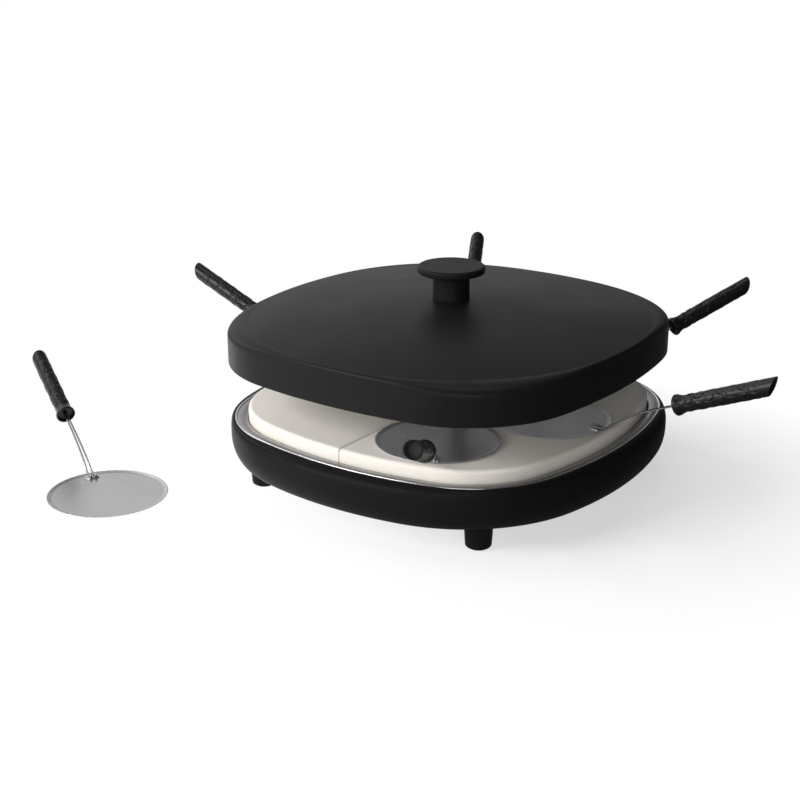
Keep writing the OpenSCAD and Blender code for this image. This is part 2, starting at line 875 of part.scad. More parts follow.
module wiring() {
    low = flange_top + 2;
    under = pan_floor - sheet - 6.5 - 0.6;
    back = base_depth / 2;
    leg_x = lower_loop_radius * sin(leg_angle);
    leg_y = lower_loop_radius * cos(leg_angle);
    block_y = block_place[1];
    core_x = 8.5;
    color(brass_metal) {
        cable([[48, back - 14, entry_z], [48, back - 18, entry_z], [50, block_y + 14, low + 4],
            [50, block_y + 6.8, low + 4]]);
        cable([[block_place[0] - 17.3, block_y, low + 3], [26, block_y, low + 3],
            [5, block_y, entry_z], [5, back - body_depth - 0.3, entry_z]]);
        cable([[-5, back - body_depth - 0.3, entry_z], [-5, block_y, entry_z],
            [-leg_x, leg_y + 30, low - 3], [-leg_x, leg_y + 2, low - 2]], [[-leg_x, leg_y, under]]);
        cable([[leg_x, leg_y - 2, low - 2], [leg_x, leg_y - 30, low - 3],
            [thermostat_place[0], 40, low], [thermostat_place[0], 7.3, pan_floor - sheet - 4.5]]);
        for (side = [-1, 1])
            translate([core_x, side * upper_leg_y, column_bottom - 2])
                cylinder(r = cable_radius, h = upper_element_z - element_radius - 0.2 - column_bottom + 2,
                    $fn = 16);
    }
}

// ---- Lid ----

function turn_inset(z) = turn_round * (1 - sqrt(1 - pow(max(0, (z - crown_z + turn_round) / turn_round), 2)));

function turn_ring(angle) =
    let (z = turn_z + lid_turn_height * sin(angle))
    ring(grown(mixed(lid_shape, crown_shape, 1 - cos(angle)), -turn_inset(z)), z);

crown_edge = grown(crown_shape, -turn_round);
function crown_height_at(share) = crown_z + crown_height * (1 - pow(share, crown_power));

module lid_shell() {
    inner_edge = grown(crown_edge, -lid_wall);
    color(black_coat)
        loft(concat(
            [ring(grown(lid_shape, -edge_round), lid_bottom), ring(lid_shape, lid_bottom + edge_round)],
            [for (a = [0 : 18 : 90]) turn_ring(a)],
            [for (s = [0.95, 0.85, 0.7, 0.5, 0.3]) ring(crown_edge * s, crown_height_at(s))],
            [ring(crown_edge * pad_share, lid_top), ring(round_shape(knob_hole), lid_top)],
            [ring(round_shape(knob_hole), lid_top - lid_wall)],
            [ring(inner_edge * pad_share, lid_top - lid_wall)],
            [for (s = [0.35, 0.65, 0.9]) ring(inner_edge * s, crown_height_at(s) - lid_wall)],
            [ring(inner_edge, crown_z - lid_wall)],
            [ring(grown(mixed(lid_shape, crown_shape, 0.4), -lid_wall), crown_z - turn_round)],
            [ring(grown(lid_shape, -lid_wall), turn_z), ring(grown(lid_shape, -lid_wall), lid_bottom)]
        ), looped = true);
}

// Roof of the lid's inner sheet: its pad sits on the carrier and its rim on the skirt
module lid_liner() {
    wall = grown(lid_shape, -liner_inset);
    pad_top = liner_pad_z + sheet;
    drop = 6 + lid_wall;
    color(bright_steel)
        loft([
            ring(wall, roof_seat),
            ring(wall, roof_seat + sheet),
            ring(crown_edge * 0.6, crown_height_at(0.6) - drop),
            ring(round_shape(carrier_radius + 4), crown_height_at(0.28) - drop),
            ring(round_shape(carrier_radius + 2), pad_top),
            ring(round_shape(knob_hole), pad_top),
            ring(round_shape(knob_hole), liner_pad_z),
            ring(round_shape(carrier_radius + 1), liner_pad_z),
            ring(round_shape(carrier_radius + 3), crown_height_at(0.28) - drop - sheet),
            ring(crown_edge * 0.6, crown_height_at(0.6) - drop - sheet),
            ring(grown(wall, -sheet), roof_seat)
        ], looped = true);
}

// Skirt of the inner sheet: an upright wall under the roof, flanged out to the shell
module liner_skirt() {
    lip = grown(lid_shape, -lid_wall - slip);
    wall = grown(lid_shape, -liner_inset);
    flange = lid_bottom + 2;
    color(bright_steel)
        loft([
            ring(lip, flange),
            ring(lip, flange + sheet),
            ring(wall, flange + sheet),
            ring(wall, roof_seat),
            ring(grown(wall, -sheet), roof_seat),
            ring(grown(wall, -sheet), flange)
        ], looped = true);
}

module lid_spacer() {
    color(pale_ceramic)
        pipe(stem_diameter / 2, screw_radius + 0.15, liner_pad_z + sheet, lid_top - lid_wall);
}

module knob_stem() {
    r = stem_diameter / 2;
    color(black_plastic)
        difference() {
            translate([0, 0, lid_top])
                rotate_extrude()
                    polygon([[0, 0], [r, 0], [r - 0.4, stem_height * 0.5], [r, stem_height], [0, stem_height]]);
            translate([0, 0, lid_top - 1])
                cylinder(r = screw_radius + 0.15, h = stem_height + 2);
        }
}

module knob_disc() {
    r = knob_diameter / 2;
    top_edge = 2.6;
    low_edge = 2.2;
    color(black_plastic)
        difference() {
            translate([0, 0, lid_top + stem_height])
                rotate_extrude($fn = 96)
                    polygon(concat(
                        [[0, 0]],
                        arc(r - low_edge, low_edge, low_edge, -90, 0, 5),
                        arc(r - top_edge, knob_thickness - top_edge, top_edge, 0, 90, 6),
                        [[0, knob_thickness]]
                    ));
            translate([0, 0, lid_top + stem_height - 1])
                cylinder(r = screw_radius + fit, h = 5.4);
        }
}

module knob_screw() {
    shank_bottom = liner_pad_z - sheet;
    color(satin_steel) {
        translate([0, 0, shank_bottom - head_height])
            cylinder(r = 4.6, h = head_height);
        translate([0, 0, shank_bottom - 1])
            cylinder(r = screw_radius, h = lid_top + stem_height + 4 - shank_bottom + 1);
    }
}

module knob_washer() {
    color(satin_steel)
        pipe(washer_radius, screw_radius + fit, liner_pad_z - sheet, liner_pad_z);
}

// ---- Spatulas: plate centre at the origin, handle along +X ----

module plate_form() {
    r = plate_diameter / 2;
    floor_r = r - plate_rim_width;
    tab_x = floor_r - tab_length - 0.5;
    color(satin_steel)
        union() {
            rotate_extrude($fn = 96)
                polygon([
                    [0, 0], [floor_r, 0], [r - 0.6, plate_rim_height - plate_sheet],
                    [r, plate_rim_height - plate_sheet + 0.4], [r, plate_rim_height],
                    [r - 0.9, plate_rim_height], [floor_r - 0.4, plate_sheet], [0, plate_sheet]
                ]);
            translate([tab_x, -tab_width / 2, plate_sheet / 2])
                cube([tab_length, tab_width, tab_thickness + plate_sheet / 2]);
        }
}

// One run of the wire, from the tab to the hairpin inside the grip, as distance and height
wire_low = plate_sheet + tab_thickness + wire_radius + 0.02;
function wire_profile() =
    let (
        start = plate_diameter / 2 - plate_rim_width - tab_length,
        lift_off = plate_diameter / 2 - lift_inset,
        bend = [for (a = [0 : 23 : rise_angle])
            [lift_off + bend_radius * sin(a), wire_low + bend_radius * (1 - cos(a))]],
        from = bend[len(bend) - 1],
        to = [wire_run, collar_rise],
        sweep = bezier([from, from + low_pull * [cos(rise_angle), sin(rise_angle)],
            to - high_pull * [cos(grip_slope), sin(grip_slope)], to], 7)
    )
    concat([[start, wire_low]], bend, [for (i = [1 : 7]) sweep[i]],
        [to + wire_depth * [cos(grip_slope), sin(grip_slope)]]);

module wire_form() {
    profile = wire_profile();
    last = len(profile) - 1;
    run = [for (p = profile)
        let (share = min(1, max(0, (p[0] - plate_diameter / 2) / (wire_run - plate_diameter / 2))))
        [p[0], wire_spread + (wire_close - wire_spread) * share, p[1]]];
    end = profile[last];
    hairpin = [for (a = [30 : 30 : 150])
        let (u = wire_close * sin(a))
        [end[0] + u * cos(grip_slope), wire_close * cos(a), end[1] + u * sin(grip_slope)]];
    back = [for (i = [last : -1 : 0]) [run[i][0], -run[i][1], run[i][2]]];
    color(satin_steel)
        tube(concat(run, hairpin, back), wire_radius, 6, [0, 0, 1]);
}

module grip_form() {
    r = grip_diameter / 2;
    flare = collar_diameter / 2;
    color(black_plastic)
        translate([wire_run, 0, collar_rise])
            rotate([0, 90 - grip_slope, 0])
                difference() {
                    rotate_extrude($fn = 48)
                        polygon([
                            [0, 0], [flare - 0.8, 0], [flare, 0.9], [flare - 0.3, 2.4], [r + 0.5, 5.6],
                            [r - 0.2, 9], [r - 0.1, 20], [r + 0.2, grip_length * 0.55],
                            [r, grip_length], [r - 0.2, grip_length + r], [0, grip_length + r]
                        ]);
                    translate([0, 0, -1])
                        cylinder(r = flare - 2.6, h = 5, $fn = 48);
                    cylinder(r = wire_close + wire_radius + 0.1, h = wire_depth + 6, $fn = 32);
                    translate([0, 0, grip_length - 24])
                        cylinder(r = r - 2, h = 60, $fn = 48);
                    translate([0, 0, grip_length])
                        rotate([0, cut_angle, 0])
                            translate([-30, -30, 0])
                                cube([60, 60, 40]);
                }
}

// Places of the spatulas: reach from the column, direction of the handle
spatula_places = [[corner_reach, -61], [side_reach, 0], [corner_reach, 58.5], [corner_reach, 118.5],
    [side_reach, 180]];

module at_spatula(i) {
    if (i < len(spatula_places))
        rotate([0, 0, spatula_places[i][1]])
            translate([spatula_places[i][0], 0, plate_z])
                children();
    else
        translate([table_plate[0], table_plate[1], 0])
            rotate([0, 0, table_turn])
                children();
}

module spatula_plate(i) { at_spatula(i) plate_form(); }
module spatula_wire(i) { at_spatula(i) wire_form(); }
module spatula_grip(i) { at_spatula(i) grip_form(); }

housing();
rim_frame();
bottom_cover();
cover_screws();
foot_front_left();
foot_front_right();
foot_back_left();
foot_back_right();
foot_pads();
foot_screws();
pan_standoffs();
pan_screws();
edge_bead();
stone_tray();
lower_reflector();
lower_heating_element();
lower_element_clips();
stone_support();
stone_left();
stone_right();
column_tube();
column_flange();
column_nut();
column_collar();
upper_reflector();
upper_heating_element();
upper_element_clips();
lid_carrier();
switch_housing();
switch_rocker();
cord_gland();
terminal_block();
thermostat();
wiring();
lid_shell();
lid_liner();
liner_skirt();
lid_spacer();
knob_stem();
knob_disc();
knob_screw();
knob_washer();
spatula_plate(0);  // spatula_1_plate
spatula_wire(0);  // spatula_1_wire
spatula_grip(0);  // spatula_1_grip
spatula_plate(1);  // spatula_2_plate
spatula_wire(1);  // spatula_2_wire
spatula_grip(1);  // spatula_2_grip
spatula_plate(2);  // spatula_3_plate
spatula_wire(2);  // spatula_3_wire
spatula_grip(2);  // spatula_3_grip
spatula_plate(3);  // spatula_4_plate
spatula_wire(3);  // spatula_4_wire
spatula_grip(3);  // spatula_4_grip
spatula_plate(4);  // spatula_5_plate
spatula_wire(4);  // spatula_5_wire
spatula_grip(4);  // spatula_5_grip
spatula_plate(5);  // spatula_6_plate
spatula_wire(5);  // spatula_6_wire
spatula_grip(5);  // spatula_6_grip
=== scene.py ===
import bpy
import json
import math
import numpy as np
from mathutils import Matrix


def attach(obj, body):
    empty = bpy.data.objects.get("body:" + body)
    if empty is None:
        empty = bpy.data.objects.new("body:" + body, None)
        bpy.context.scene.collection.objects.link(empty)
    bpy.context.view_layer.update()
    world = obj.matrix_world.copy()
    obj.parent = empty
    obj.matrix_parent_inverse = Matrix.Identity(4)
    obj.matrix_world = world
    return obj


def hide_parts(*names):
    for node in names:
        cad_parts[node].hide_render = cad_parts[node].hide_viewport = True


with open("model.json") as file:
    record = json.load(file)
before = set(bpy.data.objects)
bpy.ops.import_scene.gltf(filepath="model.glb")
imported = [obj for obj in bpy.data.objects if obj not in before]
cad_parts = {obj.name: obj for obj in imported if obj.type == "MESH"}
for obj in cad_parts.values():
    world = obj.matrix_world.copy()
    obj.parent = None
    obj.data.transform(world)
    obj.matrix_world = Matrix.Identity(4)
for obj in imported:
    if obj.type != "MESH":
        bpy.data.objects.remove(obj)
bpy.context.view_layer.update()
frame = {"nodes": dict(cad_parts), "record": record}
nodes = frame["nodes"]
print("packed model loaded:", len(nodes), "nodes")

mm = 0.001
tau = 2 * math.pi
upward = (0, 0, 1)
creaseAngle = 38  # degrees; a sharper edge stays sharp in the shading

# Camera, at the photograph's angle
cameraView = {
    "place": (0.7697, -1.1589, 0.5673),  # metres
    "elevation": 19.61,  # degrees above the level
    "azimuth": 35.62,  # degrees round from the front, to the right
    "lens": 67.27,
}
cameraData = bpy.data.cameras.new("photoCamera")
cameraData.lens = cameraView["lens"]
cameraData.sensor_width = 36
cameraData.clip_end = 60
camera = bpy.data.objects.new("photoCamera", cameraData)
camera.location = cameraView["place"]
camera.rotation_euler = (math.radians(90 - cameraView["elevation"]), 0, math.radians(cameraView["azimuth"]))
bpy.context.scene.collection.objects.link(camera)
bpy.context.scene.camera = camera
bpy.context.scene.view_settings.view_transform = "Standard"


# Materials: short names for the shader's sockets, then the nodes that every finish uses
socketNames = {
    "color": "Base Color",
    "roughness": "Roughness",
    "metallic": "Metallic",
    "specular": "Specular IOR Level",
}


def newMaterial(name, **settings):
    # Constant values go straight onto the shader's own sockets
    material = bpy.data.materials.new(name)
    material.use_nodes = True
    shader = material.node_tree.nodes["Principled BSDF"]
    for socket, value in settings.items():
        shader.inputs[socketNames[socket]].default_value = value
    return material, material.node_tree, shader


def addNode(tree, kind, **values):
    node = tree.nodes.new(kind)
    for key, value in values.items():
        setattr(node, key, value)
    return node


def noise(tree, scale, detail=3, stretch=(1, 1, 1), roughness=0.5):
    # Noise over Object coordinates, so the pattern stays on the piece
    place = addNode(tree, "ShaderNodeTexCoord")
    mapping = addNode(tree, "ShaderNodeMapping")
    mapping.inputs["Scale"].default_value = stretch
    texture = addNode(tree, "ShaderNodeTexNoise")
    texture.inputs["Scale"].default_value = scale
    texture.inputs["Detail"].default_value = detail
    texture.inputs["Roughness"].default_value = roughness
    tree.links.new(place.outputs["Object"], mapping.inputs["Vector"])
    tree.links.new(mapping.outputs["Vector"], texture.inputs["Vector"])
    return texture.outputs["Fac"]


def ranged(tree, value, low, high, fromLow=0.3, fromHigh=0.7):
    # Low at fromLow, high at fromHigh, and level beyond them
    node = addNode(tree, "ShaderNodeMapRange")
    node.inputs["From Min"].default_value = fromLow
    node.inputs["From Max"].default_value = fromHigh
    node.inputs["To Min"].default_value = low
    node.inputs["To Max"].default_value = high
    tree.links.new(value, node.inputs["Value"])
    return node.outputs["Result"]


def maths(tree, operation, first, second):
    node = addNode(tree, "ShaderNodeMath", operation=operation)
    for socket, value in enumerate((first, second)):
        if isinstance(value, (int, float)):
            node.inputs[socket].default_value = value
        else:
            tree.links.new(value, node.inputs[socket])
    return node.outputs[0]


def blended(tree, share, first, second):
    # A mix of two colours: its sockets 6 and 7 are the colours, output 2 is the mix
    node = addNode(tree, "ShaderNodeMix", data_type="RGBA")
    for socket, value in ((6, first), (7, second)):
        if isinstance(value, tuple):
            node.inputs[socket].default_value = value
        else:
            tree.links.new(value, node.inputs[socket])
    tree.links.new(share, node.inputs[0])
    return node.outputs[2]


def bumped(tree, shader, height, distance, strength=1.0, before=None):
    node = addNode(tree, "ShaderNodeBump")
    node.inputs["Distance"].default_value = distance
    node.inputs["Strength"].default_value = strength
    tree.links.new(height, node.inputs["Height"])
    if before is not None:
        tree.links.new(before, node.inputs["Normal"])
    tree.links.new(node.outputs["Normal"], shader.inputs["Normal"])
    return node.outputs["Normal"]


def blackFinish(name, tone, low, high, grain, depth, specular):
    # Black coat or moulding: fine grain in the bump, slow clouds in the roughness, a hint of dust in the
    # colour
    black = (tone, tone, tone * 1.02, 1)
    dusty = (tone * 1.35, tone * 1.33, tone * 1.3, 1)
    material, tree, shader = newMaterial(name, color=black, specular=specular)
    cloud = noise(tree, 14, 4)
    tree.links.new(ranged(tree, cloud, low, high), shader.inputs["Roughness"])
    dust = ranged(tree, noise(tree, 55, 6), 0, 0.35, 0.5, 0.75)
    tree.links.new(blended(tree, dust, black, dusty), shader.inputs["Base Color"])
    first = bumped(tree, shader, noise(tree, 1 / (grain * mm), 2), depth * mm)
    bumped(tree, shader, noise(tree, 90, 2), depth * 2.5 * mm, 0.4, first)
    return material


def metalFinish(name, color, low, high, stretch, scale, depth):
    # Metal: long fine scratches along one direction, and smudges in the roughness
    material, tree, shader = newMaterial(name, color=color, metallic=1)
    scratch = noise(tree, scale, 4, stretch, 0.6)
    smudge = noise(tree, 30, 3)
    span = high - low
    both = maths(tree, "ADD", ranged(tree, scratch, 0, span * 0.6),
                 ranged(tree, smudge, low, low + span * 0.4))
    tree.links.new(both, shader.inputs["Roughness"])
    bumped(tree, shader, scratch, depth * mm)
    return material


def stoneFinish():
    # Cream ceramic stone: warm clouds, fine dark specks and a sandy surface
    material, tree, shader = newMaterial("creamStone", specular=0.35, roughness=0.6)
    cloud = ranged(tree, noise(tree, 9, 5, roughness=0.6), 0, 1)
    cream = blended(tree, cloud, (0.905, 0.865, 0.80, 1), (0.88, 0.83, 0.755, 1))
    speck = ranged(tree, noise(tree, 650, 2), 0, 0.14, 0.66, 0.74)
    tree.links.new(blended(tree, speck, cream, (0.46, 0.39, 0.30, 1)), shader.inputs["Base Color"])
    tree.links.new(ranged(tree, noise(tree, 40, 4), 0.5, 0.68), shader.inputs["Roughness"])
    first = bumped(tree, shader, noise(tree, 900, 3), 0.05 * mm)
    bumped(tree, shader, noise(tree, 60, 2), 0.12 * mm, 0.5, first)
    return material


satinCoat = blackFinish("satinCoat", 0.010, 0.38, 0.44, 0.8, 0.010, 0.085)
housingBlack = blackFinish("housingBlack", 0.008, 0.44, 0.54, 0.7, 0.015, 0.06)
knobBlack = blackFinish("knobBlack", 0.010, 0.38, 0.48, 0.6, 0.012, 0.06)
gripBlack = blackFinish("gripBlack", 0.009, 0.26, 0.36, 0.4, 0.015, 0.22)
rockerBlack = blackFinish("rockerGloss", 0.012, 0.14, 0.2, 0.8, 0.004, 0.3)
padRubber = blackFinish("padRubber", 0.015, 0.7, 0.85, 0.5, 0.03, 0.15)
edgeSteel = metalFinish("edgeSteel", (0.62, 0.62, 0.63, 1), 0.16, 0.26, (1, 1, 1), 300, 0.003)
bandSteel = metalFinish("bandSteel", (0.34, 0.34, 0.345, 1), 0.26, 0.38, (1, 1, 14), 220, 0.004)
plateSteel = metalFinish("plateSteel", (0.56, 0.56, 0.57, 1), 0.24, 0.38, (1, 7, 1), 260, 0.004)
wireSteel = metalFinish("wireSteel", (0.33, 0.33, 0.335, 1), 0.14, 0.24, (1, 1, 1), 200, 0.003)
plainSteel = metalFinish("plainSteel", (0.50, 0.50, 0.51, 1), 0.3, 0.42, (8, 1, 1), 200, 0.005)
sheetSteel = metalFinish("sheetSteel", (0.72, 0.72, 0.73, 1), 0.22, 0.36, (5, 1, 1), 160, 0.005)
sheathSteel = metalFinish("sheathSteel", (0.13, 0.125, 0.12, 1), 0.45, 0.6, (1, 1, 1), 240, 0.01)
creamStone = stoneFinish()
ceramicWhite = newMaterial("ceramicWhite", color=(0.78, 0.76, 0.71, 1), roughness=0.45)[0]
leadSleeve = newMaterial("leadSleeve", color=(0.62, 0.58, 0.5, 1), roughness=0.8)[0]
print("materials made:", len(bpy.data.materials))

slotMaterials = {
    "black_coating": satinCoat,
    "black_housing": housingBlack,
    "black_knob": knobBlack,
    "rocker_black": rockerBlack,
    "black_rubber": padRubber,
    "bright_edge": edgeSteel,
    "tray_steel": bandSteel,
    "cream_stone": creamStone,
    "reflector_aluminium": sheetSteel,
    "element_sheath": sheathSteel,
    "plain_steel": plainSteel,
    "white_ceramic": ceramicWhite,
    "lead_sleeve": leadSleeve,
    "plate_steel": plateSteel,
    "wire_steel": wireSteel,
    "black_grip": gripBlack,
}
nodeSlots = {part["node"]: part["material_slot"] for part in frame["record"]["subparts"]}
for nodeName, nodeObject in nodes.items():
    nodeObject.data.materials.clear()
    nodeObject.data.materials.append(slotMaterials[nodeSlots[nodeName]])


# Surfaces
def skin(name, grid, material, closeRows=False, capStart=False, capEnd=False, sharp=creaseAngle):
    # A grid of points becomes a surface: rows run along the profile, columns go once round
    grid = np.asarray(grid, float)
    rows, cols = grid.shape[:2]
    i = np.arange(rows if closeRows else rows - 1)[:, None]
    j = np.arange(cols)[None, :]
    nextRow, nextCol = (i + 1) % rows, (j + 1) % cols
    faces = np.stack([i * cols + j, i * cols + nextCol, nextRow * cols + nextCol, nextRow * cols + j], axis=-1)
    faces = faces.reshape(-1, 4).tolist()
    if capStart:
        faces.append(list(range(cols - 1, -1, -1)))
    if capEnd:
        faces.append(list(range((rows - 1) * cols, rows * cols)))
    mesh = bpy.data.meshes.new(name)
    mesh.from_pydata((grid.reshape(-1, 3) * mm).tolist(), [], faces)
    mesh.polygons.foreach_set("use_smooth", np.ones(len(mesh.polygons), bool))
    mesh.set_sharp_from_angle(angle=math.radians(sharp))
    mesh.materials.append(material)
    piece = bpy.data.objects.new(name, mesh)
    bpy.context.scene.collection.objects.link(piece)
    return piece


def fitted(piece, body, slotName, *replaced):
    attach(piece, body)
    if replaced:
        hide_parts(*replaced)
    return piece


def merged(name, pieces):
    # Several meshes in one object, at the same places
    bpy.ops.object.select_all(action="DESELECT")
    for piece in pieces:
        piece.select_set(True)
    bpy.context.view_layer.objects.active = pieces[0]
    bpy.ops.object.join()
    pieces[0].name = name
    pieces[0].data.name = name
    return pieces[0]


def outlines(shapes, sideSteps=14, cornerSteps=22):
    # Rounded squares with bowed sides, one per row of half width, half depth, side radius and corner radius.
    # A quarter is a side arc centred on its own axis, a corner arc that touches both side arcs from inside,
    # and a side arc again; the other quarters mirror it.
    a, b, big, small = [np.asarray(shapes, float)[:, k, None] for k in range(4)]
    x, y = a - big, b - big
    d = np.hypot(x, y)
    plain = d < 1e-6
    safe = np.where(plain, 1, d)
    h = np.sqrt(np.maximum((big - small) ** 2 - d * d / 4, 0))
    cx = np.where(plain, 0, x / 2 - h * y / safe)
    cy = np.where(plain, 0, y / 2 - h * x / safe)
    start = np.where(plain, math.pi / 6, np.arctan2(cy, cx - x))
    end = np.where(plain, math.pi / 3, np.arctan2(cy - y, cx))
    u = np.linspace(0, 1, sideSteps, endpoint=False)
    v = np.linspace(0, 1, cornerSteps, endpoint=False)
    w = np.linspace(0, 1, sideSteps + 1)
    angle = [start * u, start + (end - start) * v, end + (math.pi / 2 - end) * w]
    parts = [
        np.stack([x + big * np.cos(angle[0]), big * np.sin(angle[0])], -1),
        np.stack([cx + small * np.cos(angle[1]), cy + small * np.sin(angle[1])], -1),
        np.stack([big * np.cos(angle[2]), y + big * np.sin(angle[2])], -1),
    ]
    quarter = np.concatenate(parts, axis=1)
    m = quarter.shape[1] - 1
    ahead, back = quarter[:, :m], quarter[:, m:0:-1]
    return np.concatenate([ahead, back * [-1, 1], -ahead, back * [1, -1]], axis=1)


def grown(shape, d):
    # All four measures grow together, so the outline moves out evenly
    return np.asarray(shape, float) + np.asarray(d, float)[..., None]


def mixed(first, second, share):
    share = np.asarray(share, float)[..., None]
    return np.asarray(first, float) * (1 - share) + np.asarray(second, float) * share


def roundShape(radius):
    return np.full(4, float(radius))


def ringGrid(shapes, heights):
    # Each outline lifted to its height
    flat = outlines(shapes)
    z = np.broadcast_to(np.asarray(heights, float)[:, None, None], flat.shape[:2] + (1,))
    return np.concatenate([flat, z], axis=-1)


def revolved(profile, steps=96):
    # A profile of radius and height turned once round the Z axis
    profile = np.asarray(profile, float)
    turn = np.linspace(0, tau, steps, endpoint=False)
    radius = profile[:, 0, None]
    return np.stack([radius * np.cos(turn), radius * np.sin(turn),
                     np.broadcast_to(profile[:, 1, None], (len(profile), steps))], -1)


def roundedProfile(points, radii, steps=6):
    # Corners of a profile replaced by arcs: each corner's curve is the quadratic blend between the two
    # points that lie its radius away along its sides
    out = []
    last = len(points) - 1
    for k, (point, r) in enumerate(zip(points, radii)):
        p = np.array(point, float)
        if r == 0 or k in (0, last):
            out.append(p)
            continue
        before, after = np.array(points[k - 1], float), np.array(points[k + 1], float)
        p0 = p + (before - p) / np.linalg.norm(before - p) * r
        p2 = p + (after - p) / np.linalg.norm(after - p) * r
        t = np.linspace(0, 1, steps + 1)[:, None]
        out.extend((1 - t) ** 2 * p0 + 2 * t * (1 - t) * p + t ** 2 * p2)
    return np.array(out)


def tubeGrid(path, radius, sides, sideways):
    # A circle carried along the path: its first direction is the sideways vector made square to the path
    path = np.asarray(path, float)
    along = np.gradient(path, axis=0)
    along /= np.linalg.norm(along, axis=1)[:, None]
    first = np.asarray(sideways, float) - along * (along @ np.asarray(sideways, float))[:, None]
    first /= np.linalg.norm(first, axis=1)[:, None]
    second = np.cross(along, first)
    turn = np.linspace(0, tau, sides, endpoint=False)[None, :, None]
    reach = np.broadcast_to(np.asarray(radius, float), len(path))[:, None, None]
    return path[:, None] + reach * (np.cos(turn) * first[:, None] + np.sin(turn) * second[:, None])


def bezier(points, steps):
    # Cubic curve through the first and last point, pulled towards the two between
    p = np.asarray(points, float)
    t = np.linspace(0, 1, steps)[:, None]
    s = 1 - t
    return p[0] * s ** 3 + 3 * p[1] * s ** 2 * t + 3 * p[2] * s * t ** 2 + p[3] * t ** 3


def cutAway(piece, cutters):
    # Holes through a shell: each cutter is taken off with an exact boolean, and the result becomes the mesh
    for cutter in cutters:
        change = piece.modifiers.new("hole", "BOOLEAN")
        change.operation = "DIFFERENCE"
        change.solver = "EXACT"
        change.object = cutter
    bpy.context.view_layer.update()
    whole = bpy.data.meshes.new_from_object(piece.evaluated_get(bpy.context.evaluated_depsgraph_get()))
    piece.modifiers.clear()
    piece.data = whole
    for cutter in cutters:
        bpy.data.objects.remove(cutter)
    whole.polygons.foreach_set("use_smooth", np.ones(len(whole.polygons), bool))
    whole.set_sharp_from_angle(angle=math.radians(creaseAngle))
    return piece


def blockGrid(low, high):
    # A box as four corners low and four corners high
    x0, y0, z0 = low
    x1, y1, z1 = high
    ring = [(x0, y0), (x1, y0), (x1, y1), (x0, y1)]
    return np.array([[(x, y, z) for x, y in ring] for z in (z0, z1)], float)


# Lid
lid = {
    "shape": (190, 196, 525, 117),  # half width, half depth, side radius, corner radius
    "crown": (192.4, 197.4, 306, 180),
    "bottom": 123,
    "turn": 150,
    "turnHeight": 9.2,
    "crownHeight": 17.2,
    "wall": 2.2,
    "edgeRound": 1.2,
    "turnRound": 4,
    "crownPower": 1.9,
    "padShare": 0.105,
    "hole": 2.9,
}
crownZ = lid["turn"] + lid["turnHeight"]
lidTop = crownZ + lid["crownHeight"]
crownEdge = grown(lid["crown"], -lid["turnRound"])


def crownHeightAt(share):
    # The crown falls with a power of the distance from the middle
    return crownZ + lid["crownHeight"] * (1 - np.power(share, lid["crownPower"]))


def lidSkin():
    # Outer skin: rounded lower edge, wall, quarter-ellipse turn, crown; inner skin the same way back
    a = np.radians(np.linspace(-90, 0, 7))
    edge = grown(lid["shape"], lid["edgeRound"] * (np.cos(a) - 1))
    edgeZ = lid["bottom"] + lid["edgeRound"] * (1 + np.sin(a))
    wallZ = np.linspace(lid["bottom"] + lid["edgeRound"], lid["turn"], 6)[1:-1]
    wall = np.repeat(np.array(lid["shape"], float)[None], len(wallZ), 0)
    turn = np.radians(np.concatenate([np.linspace(0, 50, 12), np.linspace(50, 90, 22)[1:]]))
    turnZ = lid["turn"] + lid["turnHeight"] * np.sin(turn)
    rise = np.clip((turnZ - crownZ + lid["turnRound"]) / lid["turnRound"], 0, 1)
    inset = lid["turnRound"] * (1 - np.sqrt(1 - rise ** 2))
    turned = mixed(lid["shape"], lid["crown"], 1 - np.cos(turn)) - inset[:, None]
    share = np.concatenate([np.linspace(0.995, 0.9, 8), np.linspace(0.88, 0.12, 26), [lid["padShare"]]])
    crown = crownEdge * share[:, None]
    crownZs = crownHeightAt(share)
    crownZs[-1] = lidTop
    inner = crownEdge - lid["wall"]
    backShare = np.array([lid["padShare"], 0.35, 0.5, 0.65, 0.8, 0.9])
    backZ = np.concatenate([[lidTop], crownHeightAt(backShare[1:])]) - lid["wall"]
    hole = roundShape(lid["hole"])
    shapes = np.concatenate([
        edge, wall, turned, crown, [hole, hole], inner * backShare[:, None],
        [inner, mixed(lid["shape"], lid["crown"], 0.4) - lid["wall"],
         grown(lid["shape"], -lid["wall"]), grown(lid["shape"], -lid["wall"])],
    ])
    heights = np.concatenate([
        edgeZ, wallZ, turnZ, crownZs, [lidTop, lidTop - lid["wall"]], backZ,
        [crownZ - lid["wall"], crownZ - lid["turnRound"], lid["turn"], lid["bottom"]],
    ])
    return ringGrid(shapes, heights)


fitted(skin("lidShell", lidSkin(), satinCoat, closeRows=True), "lid", "black_coating", "lid_shell")

liner = {"lipGap": 0.3, "inset": 9, "sheet": 1, "drop": 8.2, "seat": 152,
         "padZ": 169.2, "padRadius": 52, "padSlope": 2, "padShare": 0.28}
linerWall = grown(lid["shape"], -liner["inset"])


